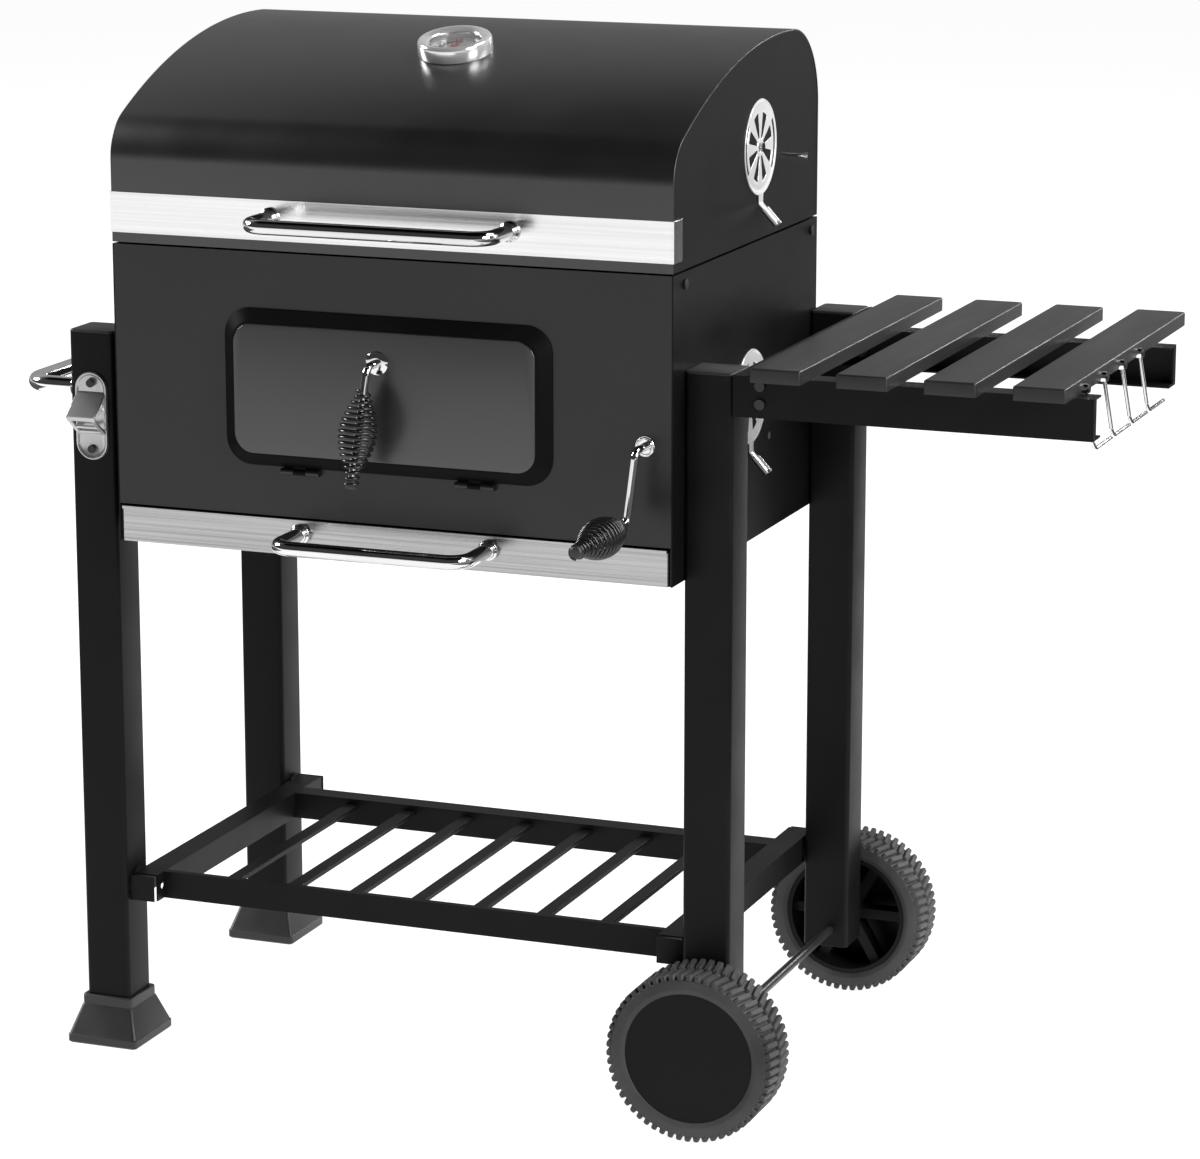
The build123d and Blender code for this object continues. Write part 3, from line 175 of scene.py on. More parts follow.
# shapes, in millimetres
upright = ((1, 0, 0), (0, 1, 0), (0, 0, 1))
facingFront = ((1, 0, 0), (0, 0, 1), (0, -1, 0))
facingRight = ((0, 1, 0), (0, 0, 1), (1, 0, 0))
facingLeft = ((0, -1, 0), (0, 0, 1), (-1, 0, 0))


def boxOf(node):
    low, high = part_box(node)
    return np.array(low) / mm, np.array(high) / mm


def endsOf(node, way):
    # The middles of a node's two end faces, along a direction
    points = np.array([v.co for v in nodes[node].data.vertices]) / mm
    reach = points @ np.array(way)
    return points[reach < reach.min() + 0.02].mean(0), points[reach > reach.max() - 0.02].mean(0)


def put(rows, origin, axes=upright):
    # Local points turned onto three axes and moved to their place
    return np.asarray(rows, float) @ np.array(axes, float) + np.asarray(origin, float)


def rounded(points, radius, steps=6):
    # A path with round corners: each arc's centre lies one radius from both runs, and the arc swings between
    # the two points where it touches them
    points = np.asarray(points, float)
    out = [points[:1]]
    radii = np.broadcast_to(radius, len(points) - 2)
    for before, corner, after, r in zip(points, points[1:], points[2:], radii):
        a, b = before - corner, after - corner
        a, b = a / np.linalg.norm(a), b / np.linalg.norm(b)
        half = acos(np.clip(a @ b, -1, 1)) / 2
        centre = corner + (a + b) / np.linalg.norm(a + b) * r / sin(half)
        back = r * cos(half) / sin(half)
        start, end = corner + a * back - centre, corner + b * back - centre
        turn, t = pi - 2 * half, np.linspace(0, 1, steps + 1)[:, None]
        out.append(centre + (np.sin((1 - t) * turn) * start + np.sin(t * turn) * end) / sin(turn))
    return np.concatenate(out + [points[-1:]])


def circle(radius, sides=24):
    turn = np.linspace(0, 2 * pi, sides, endpoint=False)
    return np.column_stack((np.cos(turn), np.sin(turn))) * radius


def roundedBox(halfX, halfY, corner, steps=5):
    # Four quarter circles round the corner centres of a rectangle
    turn = np.linspace(0, pi / 2, steps + 1)
    turn = (turn[None] + np.arange(4)[:, None] * pi / 2).ravel()
    signs = np.repeat(((1, 1), (-1, 1), (-1, -1), (1, -1)), steps + 1, axis=0)
    return np.column_stack((np.cos(turn), np.sin(turn))) * corner + signs * (halfX - corner, halfY - corner)


def stacked(levels, steps=5):
    # Rounded rectangles one above another: each level is its half sizes, corner radius and height
    return np.stack([
        np.column_stack((roundedBox(x, y, corner, steps), np.full(4 * steps + 4, z)))
        for x, y, corner, z in levels
    ])


def turned(profile, sides=48):
    # A profile of radius and height carried round the z axis
    profile = np.asarray(profile, float)
    ring = circle(1, sides)
    rows = np.empty((len(profile), sides, 3))
    rows[..., :2] = ring[None] * profile[:, None, :1]
    rows[..., 2] = profile[:, 1:]
    return rows


def carried(path, section, across):
    # A section carried along a path: it stands square to the path, and `across` says which way it is turned
    path = np.asarray(path, float)
    runs = np.diff(path, axis=0)
    runs /= np.linalg.norm(runs, axis=1)[:, None]
    along = np.concatenate((runs[:1], runs[:-1] + runs[1:], runs[-1:]))
    along /= np.linalg.norm(along, axis=1)[:, None]
    across = np.asarray(across, float)
    first = across - (along @ across)[:, None] * along
    first /= np.linalg.norm(first, axis=1)[:, None]
    second = np.cross(along, first)
    section = np.broadcast_to(section, (len(path), *np.shape(section)[-2:]))
    return path[:, None] + first[:, None] * section[..., :1] + second[:, None] * section[..., 1:]


def skin(rows, ring=False):
    # Faces between neighbouring rows; the end rows are closed by a face each, or joined in a ring
    count, around = rows.shape[:2]
    index = np.arange(count * around).reshape(count, around)
    lower, upper = (index, np.roll(index, -1, 0)) if ring else (index[:-1], index[1:])
    quads = np.stack((lower, np.roll(lower, -1, 1), np.roll(upper, -1, 1), upper), -1).reshape(-1, 4)
    ends = [] if ring else [index[0, ::-1].tolist(), index[-1].tolist()]
    return rows.reshape(-1, 3), quads.tolist() + ends


def newPiece(name, shells, body, finish, replaced=(), sharp=35):
    # One object from one or more closed shells of points and faces, with every face turned outwards
    points = np.concatenate([shell[0] for shell in shells])
    starts = np.cumsum([0] + [len(shell[0]) for shell in shells])
    faces = [[i + int(start) for i in face] for (_, own), start in zip(shells, starts) for face in own]
    mesh = bpy.data.meshes.new(name)
    mesh.from_pydata((points * mm).tolist(), [], faces)
    work = bmesh.new()
    work.from_mesh(mesh)
    bmesh.ops.recalc_face_normals(work, faces=work.faces)
    work.to_mesh(mesh)
    work.free()
    return finishPiece(name, mesh, body, finish, replaced, sharp)


def finishPiece(name, mesh, body, finish, replaced, sharp=35, bevel=0.0):
    # Shading, finish and a rounded edge where one is wanted; then its body, its slot and what it stands for
    mesh.shade_smooth()
    mesh.set_sharp_from_angle(angle=radians(sharp))
    mesh.materials.clear()
    mesh.materials.append(materials[finish])
    piece = bpy.data.objects.new(name, mesh)
    bpy.context.scene.collection.objects.link(piece)
    if bevel > 0:
        edge = piece.modifiers.new("edges", "BEVEL")
        edge.width = bevel * mm
        edge.segments = 2
        edge.limit_method = "ANGLE"
        edge.angle_limit = radians(sharp)
        edge.harden_normals = True
    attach(piece, body)
    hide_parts(*replaced)
    return piece


def softened(node, bevel, finish=None):
    # A copy of a CAD node with its flat triangles merged and its sharp edges rounded
    mesh = nodes[node].data.copy()
    work = bmesh.new()
    work.from_mesh(mesh)
    bmesh.ops.remove_doubles(work, verts=work.verts, dist=0.005 * mm)
    bmesh.ops.dissolve_limit(work, angle_limit=radians(0.5), verts=work.verts, edges=work.edges)
    work.to_mesh(mesh)
    work.free()
    slot = slotOf[node]
    return finishPiece(f"{node}.soft", mesh, bodyOf[node], finish or slot, [node], bevel=bevel)


# frame: legs, feet, shelf
legs = {"corner": 5.0, "wall": 2.0, "edge": 0.4}
legNames = ("leg_front_left", "leg_rear_left", "leg_front_right", "leg_rear_right")
for node in legNames:
    low, high = boxOf(node)
    middle, half = (low + high) / 2, (high - low) / 2
    wall, edge, corner = legs["wall"], legs["edge"], legs["corner"]
    levels = [
        (half[0] - edge, half[1] - edge, corner - edge, low[2]),
        (half[0], half[1], corner, low[2] + edge),
        (half[0], half[1], corner, high[2]),
        (half[0] - wall, half[1] - wall, corner - wall, high[2]),
        (half[0] - wall, half[1] - wall, corner - wall, low[2]),
    ]
    newPiece(f"{node}.tube", [skin(put(stacked(levels), (middle[0], middle[1], 0)), ring=True)], "cart",
             "leg_coat", [node])

caps = {"corner": 5.0, "round": 1.2, "height": 3.0, "groove": 0.5, "plugIn": 2.2, "plugCorner": 2.8,
        "bow": 0.35}
low, high = boxOf("leg_caps")
legLows, legHighs = (np.array(ends) for ends in zip(*map(boxOf, legNames)))
legPlaces = (legLows[:, :2] + legHighs[:, :2]) / 2
half = (legHighs[0][0] - legLows[0][0]) / 2
capTop, capLow, bow = high[2], high[2] - caps["height"], caps["bow"] * caps["round"]
capLevels = [
    (width, width, corner, z)
    for width, corner, z in (
        (half - caps["plugIn"], caps["plugCorner"], low[2]),
        (half - caps["plugIn"], caps["plugCorner"], capLow),
        (half - caps["groove"], caps["corner"], capLow + 0.05),
        (half, caps["corner"], capLow + 0.5),
        (half, caps["corner"], capTop - caps["round"]),
        (half - bow, caps["corner"] - 0.3, capTop - bow),
        (half - caps["round"], caps["corner"] - 0.8, capTop),
    )
]
newPiece("leg_caps.moulded", [skin(put(stacked(capLevels), (*place, 0))) for place in legPlaces], "cart",
         "black_plastic", ["leg_caps"])

foot = {"skirt": 10.0, "collar": 11.0, "collarWide": 29.0, "corner": 4.0, "toe": 1.5, "play": 0.3,
        "socket": 8.0}
low, high = boxOf("feet")
footX = (high[0] - low[0]) / 2
footY = legPlaces[0][1] - low[1]
collar, corner, top = foot["collarWide"], foot["corner"], high[2]
toe, bore = foot["toe"], half + foot["play"]
footLevels = [
    (footX - toe, footY - toe, corner, 0),
    (footX, footY, corner, toe),
    (footX, footY, corner, foot["skirt"] - 1),
    (footX - 1, footY - 1, corner, foot["skirt"]),
    (collar + 1, collar + 1, corner, top - foot["collar"] - 0.8),
    (collar, collar, corner, top - foot["collar"] + 0.6),
    (collar, collar, corner, top - 1),
    (collar - 0.8, collar - 0.8, corner, top),
    (bore, bore, legs["corner"], top),
    (bore, bore, legs["corner"], top - foot["socket"]),
]
newPiece("feet.moulded", [skin(put(stacked(footLevels), (*place, 0))) for place in legPlaces[:2]], "cart",
         "black_plastic", ["feet"], sharp=25)

softened("shelf_rails", 0.5, "leg_coat")
softened("shelf_bars", 0.7, "leg_coat")
# plates that close the side rails' open ends
plates = {"wide": 30.0, "thick": 1.0, "inside": 0.6, "corner": 0.3, "above": 5.0, "below": 22.0}
barTop = boxOf("shelf_bars")[1][2]
low, high = boxOf("shelf_rails")
shells = []
for x, way in ((low[0], 1), (high[0], -1)):
    for y, inwards in ((low[1], 1), (high[1], -1)):
        middle = (x + way * plates["wide"] / 2, y + inwards * plates["inside"], 0)
        plateHalf = (plates["wide"] / 2 - plates["inside"], plates["thick"] / 2, plates["corner"])
        plateZ = barTop + plates["above"], barTop - plates["below"]
        shells.append(skin(put(stacked([(*plateHalf, z) for z in plateZ], 2), middle)))
newPiece("shelf_rails.plates", shells, "cart", "leg_coat", sharp=50)
softened("table_frame", 0.6, "leg_coat")
fasteners = {"frame_bolts": 1.0, "screws_and_rivets": 0.8, "spacers_and_washers": 0.5, "axle": 0.5}
for node, bevel in fasteners.items():
    softened(node, bevel, "dark_bolt")
print("frame done")

# side table
slats = {"corner": 2.2, "round": 1.8, "wall": 1.5, "count": 4, "wide": 51.4}
low, high = boxOf("table_slats")
pitch = (high[0] - low[0] - slats["wide"]) / (slats["count"] - 1)
halfX, halfY, r = slats["wide"] / 2, (high[1] - low[1]) / 2, slats["round"]
wall = slats["wall"]
slatLevels = [
    (halfX - wall, halfY - wall, 1, high[2] - wall),
    (halfX - wall, halfY - wall, 1, low[2]),
    (halfX, halfY, slats["corner"], low[2]),
]
for t in np.linspace(0, pi / 2, 5):
    inset, drop = r * (1 - cos(t)), r * (1 - sin(t))
    slatLevels.append((halfX - inset, halfY - inset, slats["corner"], high[2] - drop))
slatShells = [
    skin(put(stacked(slatLevels), (low[0] + halfX + i * pitch, (low[1] + high[1]) / 2, 0)))
    for i in range(slats["count"])
]
newPiece("table_slats.folded", slatShells, "cart", "slat_coat", ["table_slats"], sharp=50)
print("table done")

# firebox and lid
# the side panels take the darker, duller copy of the black paint as painted shade
for node, finish in (("firebox_front", None), ("firebox_rear", None), ("firebox_left", "side_painted_shade"),
                     ("firebox_right", "side_painted_shade")):
    softened(node, 0.6, finish)
softened("drawer_front", 0.6, "drawer_steel")
softened("lid_band", 0.3, "band_steel")
# the lid's sides also take the darker copy of the black paint, a painted shade
softened("lid_sides", 0.3, "side_painted_shade")

lid = {"front": 50.0, "crown": 650.0, "rear": 85.0, "peak": 331.0, "sheet": 1.5, "steps": (14, 60, 18)}


def lidOutline(low, high):
    # Front arc, crown arc and rear arc that meet without a corner: the crown's centre is one crown radius
    # below the top, and each small centre lies on a line from it, nearer by the difference of the radii
    crownY, crownZ = low[1] + lid["peak"], high[2] - lid["crown"]
    path = [[(low[1], low[2])]]
    ends = []
    for r, y in ((lid["front"], low[1] + lid["front"]), (lid["rear"], high[1] - lid["rear"])):
        z = crownZ + sqrt((lid["crown"] - r) ** 2 - (y - crownY) ** 2)
        ends.append((y, z, acos((y - crownY) / (lid["crown"] - r))))
    (frontY, frontZ, frontTurn), (rearY, rearZ, rearTurn) = ends
    for y, z, r, start, end, steps in (
        (frontY, frontZ, lid["front"], pi, frontTurn, lid["steps"][0]),
        (crownY, crownZ, lid["crown"], frontTurn, rearTurn, lid["steps"][1]),
        (rearY, rearZ, lid["rear"], rearTurn, 0, lid["steps"][2]),
    ):
        turn = np.linspace(start, end, steps)[:, None]
        path.append(np.hstack((y + r * np.cos(turn), z + r * np.sin(turn)))[1 if len(path) > 1 else 0:])
    return np.concatenate(path + [[(high[1], low[2])]])


low, high = boxOf("lid_shell")
outline = lidOutline(low, high)
path = np.column_stack((np.full(len(outline), (low[0] + high[0]) / 2), outline))
sheetHalf, lidHalf = lid["sheet"] / 2, (high[0] - low[0]) / 2
section = roundedBox(lidHalf, sheetHalf, sheetHalf * 0.9, 3) + (0, sheetHalf)
newPiece("lid_shell.rolled", [skin(carried(path, section, (1, 0, 0)))], "lid", "lid_enamel", ["lid_shell"],
         sharp=40)

door = {"tall": 160.0, "corner": 28.0, "cornerShare": 0.55, "bevel": 13.0, "rise": 12.0, "foot": 2.0,
        "sheet": 1.5, "bend": 3.5, "knuckle": 3.2, "hingeX": 95.0, "hingeHalf": 6.8, "axisOut": 3.4}
low, high = boxOf("charcoal_door")
panelLow = high[2] - door["tall"]
centre = np.array(((low[0] + high[0]) / 2, 0, (high[2] + panelLow) / 2))
panelFace = boxOf("firebox_front")[0][1]
halfX, halfY = (high[0] - low[0]) / 2, (high[2] - panelLow) / 2
rise = ((0, 0.3), (0, door["foot"]), (door["bevel"], door["rise"]), (door["bevel"] + 12, door["rise"]))
rise = rounded(rise, (1.5, door["bend"] * 2.2), 8)
inner = rise[::-1] + (0, -door["sheet"])
inner[:, 0] = np.maximum(inner[:, 0], 0) + door["sheet"] * (inner[:, 0] < door["bevel"])
inner[:, 1] = np.maximum(inner[:, 1], 0.3)
doorLevels = [
    (halfX - i, halfY - i, max(door["corner"] - i * door["cornerShare"], 6), h)
    for i, h in np.concatenate((inner, rise))
]
doorPlace = (centre[0], panelFace, centre[2])
shells = [skin(put(stacked(doorLevels, 10), doorPlace, facingFront))]
for side in (-1, 1):
    x = centre[0] + side * door["hingeX"]
    axis = (panelFace - door["axisOut"], low[2] + door["knuckle"])
    barrel = np.array(((x - door["hingeHalf"], *axis), (x + door["hingeHalf"], *axis)))
    shells.append(skin(carried(barrel, circle(door["knuckle"], 16), (0, 0, 1))))
    tab = stacked([(door["hingeHalf"], 1.0, 0.3, z) for z in (axis[1], panelLow + 2.0)], 2)
    shells.append(skin(put(tab, (x, panelFace - door["knuckle"], 0))))
# the pressed door takes the dull dark copy of the black paint, a painted shade on its bevel band
newPiece("charcoal_door.pressed", shells, "door", "door_painted_shade", ["charcoal_door"], sharp=30)
# the flat face: a thin plate with a round edge, one millimetre inside the pressed edge; it takes the shinier
# enamel, so the bevel round it stays dark as painted shade
edge = door["bevel"] + 1
faceX, faceY, rim = halfX - edge, halfY - edge, door["corner"] - door["cornerShare"] * edge
faceEdge = ((0, -1), (0, -0.5), (0.15, -0.1), (0.5, 0.15), (1.0, 0.25))
faceLevels = [(faceX - i, faceY - i, rim - i, door["rise"] + h) for i, h in faceEdge]
newPiece("charcoal_door.face", [skin(put(stacked(faceLevels, 10), doorPlace, facingFront))], "door",
         "lid_enamel", sharp=50)
softened("door_hinges", 0.4)
print("firebox and lid done")

# chrome: handles, rosettes, crank
handles = {"radius": 7.5, "bend": 20.0, "collar": 10.5, "collarHigh": 7.0}


def makeHandle(node, wallNode):
    # A tube out of the wall, along it and back, with a stepped collar round each foot
    low, high = boxOf(node)
    face, z = boxOf(wallNode)[0][1], (low[2] + high[2]) / 2
    left, right, out = low[0] + handles["collar"], high[0] - handles["collar"], low[1] + handles["radius"]
    corners = ((left, face, z), (left, out, z), (right, out, z), (right, face, z))
    shells = [skin(carried(rounded(corners, handles["bend"], 14), circle(handles["radius"], 32), (0, 0, 1)))]
    rim = handles["collar"]
    step = ((8.6, 4.2), (8.4, handles["collarHigh"]), (7.4, 7.4))
    profile = rounded(((rim - 1, 0), (rim, 1), (rim, 3), *step), 0.6, 3)
    shells += [skin(put(turned(profile, 36), (x, face, z), facingFront)) for x in (left, right)]
    newPiece(f"{node}.chrome", shells, bodyOf[node], "chrome", [node], sharp=50)


makeHandle("lid_handle", "lid_band")
makeHandle("drawer_handle", "drawer_front")

push = {"radius": 9.0, "bend": 28.0, "flange": 16.0}
low, high = boxOf("push_handle")
face = high[0]
out, z = low[0] + push["radius"], (low[2] + high[2]) / 2
ends = (low[1] + push["flange"], high[1] - push["flange"])
corners = ((face, ends[0], z), (out, ends[0], z), (out, ends[1], z), (face, ends[1], z))
shells = [skin(carried(rounded(corners, push["bend"], 16), circle(push["radius"], 36), (0, 0, 1)))]
profile = rounded(((16, 0), (16, 2.4), (12, 4), (10.2, 8), (9, 8.4)), 0.8, 3)
shells += [skin(put(turned(profile, 36), (face, y, z), facingLeft)) for y in ends]
newPiece("push_handle.chrome", shells, "cart", "chrome", ["push_handle"], sharp=50)

rosette = {"radius": 12.0, "flange": 3.0}
low, high = boxOf("door_rosette")
profile = [(8, -4), (rosette["radius"], 0.0), (rosette["radius"], 0.7), (10.8, 1.6), (8.6, 2.4), (6.2, 2.9),
           (4.4, 3.0)]
place = ((low[0] + high[0]) / 2, low[1] + rosette["flange"], (low[2] + high[2]) / 2)
newPiece("door_rosette.domed", [skin(put(turned(profile, 40), place, facingFront))], "door", "chrome",
         ["door_rosette"], sharp=50)

low, high = boxOf("crank_bush")
wide = (high[0] - low[0]) / 2
profile = [(4.05, 0.2), (4.05, 1.2), (6.4, 1.6), (7.0, 2.4), (8.2, 2.9), (9.4, 2.4), (wide, 1.2), (wide, 0)]
place = ((low[0] + high[0]) / 2, boxOf("firebox_front")[0][1], (low[2] + high[2]) / 2)
newPiece("crank_bush.ring", [skin(put(turned(profile, 40), place, facingFront), ring=True)], "cart", "chrome",
         sharp=50)
print("chrome done")

# wound wire grips
coils = {
    "door_grip": {"way": (-11.5, -17.0, -118.0), "turns": 16.5, "wire": 1.65},
    "crank_grip": {"way": (0.0, -1.0, 0.0), "turns": 18.5, "wire": 1.75},
}
wound = {"widest": 20.0, "narrow": 8.0, "perTurn": 26}
plug = ((4.2, -9.0), (6.2, -8.6), (6.4, -3.0), (6.0, -1.2), (4.8, -0.3), (2.5, 0.0))  # radius, height


def gripAxes(way):
    # Two directions square to the grip, and the grip's own
    way = np.array(way) / np.linalg.norm(way)
    side = np.cross(way, (1, 0, 0))
    side /= np.linalg.norm(side)
    return side, np.cross(way, side), way


def makeGrip(node, way, turns, wire):
    # A spring whose radius swells as a sine from the narrow ends: the centre line adds that radius, turned
    # round the axis, to a point that moves evenly along it; then a moulded plug over the rod's end
    axes = gripAxes(way)
    side, other, way = axes
    first, tip = endsOf(node, way)
    start, end = first + way * wire, tip - way * wire
    t = np.linspace(0, 1, int(turns * wound["perTurn"]))
    swell = np.clip((t - 0.04) / 0.84, 0, 1) ** 0.95
    radius = wound["narrow"] - wire + (wound["widest"] - wound["narrow"]) * np.sin(pi * swell) ** 1.25
    turn = 2 * pi * turns * t
    line = start + (end - start) * t[:, None]
    line = line + radius[:, None] * (np.cos(turn)[:, None] * side + np.sin(turn)[:, None] * other)
    newPiece(f"{node}.coil", [skin(carried(line, circle(wire, 8), way))], bodyOf[node], "black_wire", [node],
             sharp=80)
    newPiece(f"{node}.plug", [skin(put(turned(plug, 28), tip, axes))], bodyOf[node], "black_plastic",
             sharp=50)


for node, settings in coils.items():
    makeGrip(node, **settings)
print("coils done")

# wheels
tyres = {"lugs": 58, "lugHalf": 2.9, "reach": 13.6, "gap": 1.6, "slant": 0.16, "wall": 82.6, "thick": 20.0}


def makeTyre(side):
    # A rounded ring, and two staggered rows of slanted lugs bent round it: a lug's point at distance s round
    # the tread, h out from the axle and v across it goes to the angle s / radius
    low, high = boxOf(f"{side}_tyre")
    centre, radius, half = (low + high) / 2, (high[0] - low[0]) / 2, (high[1] - low[1]) / 2
    wall, bore = tyres["wall"], radius - tyres["thick"]
    upper = ((bore, half - 2.2), (bore + 5, half - 0.4), (wall - 1.2, half - 1.6), (wall, half - 5))
    profile = rounded(((bore, 0), *upper, (wall, 0)), (1, 3, 1.5, 1), 3)
    profile = np.concatenate((profile, profile[-2:0:-1] * (1, -1)))
    shells = [skin(put(turned(profile, 96), centre, facingFront), ring=True)]
    lug = stacked([
        (tyres["lugHalf"] + 0.5, tyres["reach"] + 0.4, 1.2, wall - 1),
        (tyres["lugHalf"], tyres["reach"], 1.2, radius - 1.0),
        (tyres["lugHalf"] - 0.8, tyres["reach"] - 0.8, 0.8, radius),
    ], 1)
    for row in (-1, 1):
        angle = (np.arange(tyres["lugs"]) + (0.25 if row > 0 else -0.25)) * 2 * pi / tyres["lugs"]
        across = lug[..., 1] + row * (tyres["gap"] + tyres["reach"])
        turn = angle[:, None, None] + (lug[..., 0] + row * tyres["slant"] * lug[..., 1])[None] / radius
        height, across = (np.broadcast_to(one, turn.shape) for one in (lug[..., 2], across))
        points = np.stack((height * np.cos(turn), height * np.sin(turn), across), -1)
        shells += [skin(put(one, centre, facingFront)) for one in points]
    newPiece(f"{side}_tyre.treaded", shells, f"{side}_wheel", "tyre_plastic", [f"{side}_tyre"], sharp=40)
    softened(f"{side}_wheel_hub", 0.8, "cap_plastic")


makeTyre("front")
makeTyre("rear")
print("wheels done")

# thermometer
gauge = {"forward": 151.0, "high": 16.0, "ticks": 28, "sweep": 270.0, "tick": (20.5, 23.5, 0.5),
         "longTick": (18.5, 23.5, 0.9), "every": 4, "mark": (3.9, 4.25), "arc": (80, 205), "arcRadius": 14.5}
tilt = asin(gauge["forward"] / lid["crown"])
gaugeWay = np.array((0, -sin(tilt), cos(tilt)))
gaugeAxes = ((1, 0, 0), (0, cos(tilt), sin(tilt)), gaugeWay)
base = endsOf("thermometer_case", gaugeWay)[1] - gaugeWay * gauge["high"]
bezel = [(38.0, -0.6), (38.5, 0.4), (38.5, 10.5), (38.1, 13.0), (37.0, 15.0), (35.4, 15.9), (33.6, 15.8),
         (29.0, 14.0), (27.2, 12.6), (26.5, 11.0), (26.5, 3.0), (30.0, 1.5)]
newPiece("thermometer_case.turned", [skin(put(turned(bezel, 72), base, gaugeAxes), ring=True)], "lid",
         "case_steel", ["thermometer_case"], sharp=50)


def dialMark(angle, inner, outer, wide):
    # A thin raised bar on the dial, from one radius to another
    bar = stacked([(wide / 2, (outer - inner) / 2, wide * 0.3, z) for z in gauge["mark"]], 1)
    bar = bar + (0, (inner + outer) / 2, 0)
    turn = ((cos(angle), sin(angle), 0), (-sin(angle), cos(angle), 0), (0, 0, 1))
    return skin(put(bar @ np.array(turn), base, gaugeAxes))


marks = []
for i in range(gauge["ticks"] + 1):
    angle = radians(gauge["sweep"] * (0.5 - i / gauge["ticks"]))
    marks.append(dialMark(angle, *(gauge["tick"] if i % gauge["every"] else gauge["longTick"])))
turn = np.linspace(*np.radians(gauge["arc"]), 30)[:, None]
r = gauge["arcRadius"]
arc = np.hstack((np.cos(turn) * r, np.sin(turn) * r, np.full_like(turn, 4.1)))
arcSection = roundedBox(2.6, 0.15, 0.1, 1)[:, ::-1] * (1, -1)
marks.append(skin(put(carried(arc, arcSection, (0, 0, 1)), base, gaugeAxes)))
newPiece("thermometer_marks", marks, "lid", "black_plastic", sharp=40)
print("thermometer done")

# vents
vent = {"radius": 49.0, "thick": 1.5, "proud": 0.3, "windows": 8, "inner": 9.5, "outer": 35.5,
        "slot": (40.6, 45.4), "slotHalf": 35.0, "tab": 12.0, "drop": 8.0, "lever": 28.0, "bend": 43.0,
        "grip": 14.0, "gripLong": 21.0, "railOut": 6.2}


def makeVent(node, face):
    # A polar sheet: every cell of the grid of radii and angles that falls in a window or a slot is left out,
    # then the sheet gets its thickness
    low, high = boxOf(node)
    centre = np.array((face + vent["proud"], (low[1] + high[1]) / 2, high[2] - vent["radius"]))
    radii = (3.2, vent["inner"], 12, 18, 24, 30, 33, vent["outer"], 38, *vent["slot"], 46.4, 47.2, 48.2)
    radii = np.array((*radii, vent["radius"]))
    lift = np.array((*[0] * 11, 0.3, 0.9, 0.9, 0.1))  # the pressed rim stands a little higher
    steps = 288
    turn = np.arange(steps) * 2 * pi / steps
    reach, lift = radii[:, None], np.repeat(lift[:, None], steps, 1)
    grid = np.stack((reach * np.cos(turn), reach * np.sin(turn), lift), -1)
    middle = (turn + pi / steps) * 180 / pi
    r = (radii[:-1] + radii[1:])[:, None] / 2
    wedge = 360 / vent["windows"]
    off = np.abs(middle % wedge - wedge / 2)
    sides = np.abs((middle + 90) % 180 - 90)
    window = (r > vent["inner"]) & (r < vent["outer"]) & (off < wedge / 4)[None]
    slot = (r > vent["slot"][0]) & (r < vent["slot"][1]) & (sides < vent["slotHalf"])[None]
    keep = ~(window | slot)
    index = np.arange(len(radii) * steps).reshape(len(radii), steps)
    quads = np.stack((index[:-1], np.roll(index, -1, 1)[:-1], np.roll(index, -1, 1)[1:], index[1:]), -1)[keep]
    mesh = bpy.data.meshes.new(node)
    points = put(grid.reshape(-1, 3), centre, facingRight) * mm
    mesh.from_pydata(points.tolist(), [], quads[:, ::-1].tolist())
    work = bmesh.new()
    work.from_mesh(mesh)
    bmesh.ops.delete(work, geom=[v for v in work.verts if not v.link_faces], context="VERTS")
    work.to_mesh(mesh)
    work.free()
    # the disc, its tab and the grip rails take the partly diffuse light steel, a painted highlight
    disc = finishPiece(f"{node}.disc", mesh, bodyOf[node], "vent_steel_painted_highlight", [node], 40)
    wall = disc.modifiers.new("sheet", "SOLIDIFY")
    wall.thickness = vent["thick"] * mm
    wall.offset = -1
    x, y, z = centre[0] + vent["thick"] / 2, centre[1], centre[2] - vent["radius"]
    way = np.array((sin(radians(vent["bend"])), 0, -cos(radians(vent["bend"]))))
    bend = np.array((x, y, z - vent["drop"]))
    end = bend + way * vent["lever"]
    strip = rounded(((x, y, z + 2), bend, end - way * 3), 4, 5)
    shells = [skin(carried(strip, roundedBox(vent["tab"] / 2, vent["thick"] / 2, 0.5, 2), (0, 1, 0)))]
    newPiece(f"{node}.tab", shells, bodyOf[node], "vent_steel_painted_highlight", sharp=50)
    grip = np.array((end - way * vent["gripLong"], end))
    out = np.cross((0, 1, 0), way)
    floor = skin(carried(grip + out * 1.6, roundedBox(vent["grip"] / 2, 1.4, 0.6, 2), (0, 1, 0)))
    railOuts = (-vent["railOut"], vent["railOut"])
    rails = [skin(carried(grip + (0, y, 0), roundedBox(0.8, 2.0, 0.5, 2), (0, 1, 0))) for y in railOuts]
    newPiece(f"{node}.grip", [floor], bodyOf[node], "black_plastic", sharp=50)
    newPiece(f"{node}.grip_rails", rails, bodyOf[node], "vent_steel_painted_highlight", sharp=50)


makeVent("lid_vent", boxOf("lid_sides")[1][0])
makeVent("firebox_vent", boxOf("firebox_right")[1][0])
print("vents done")

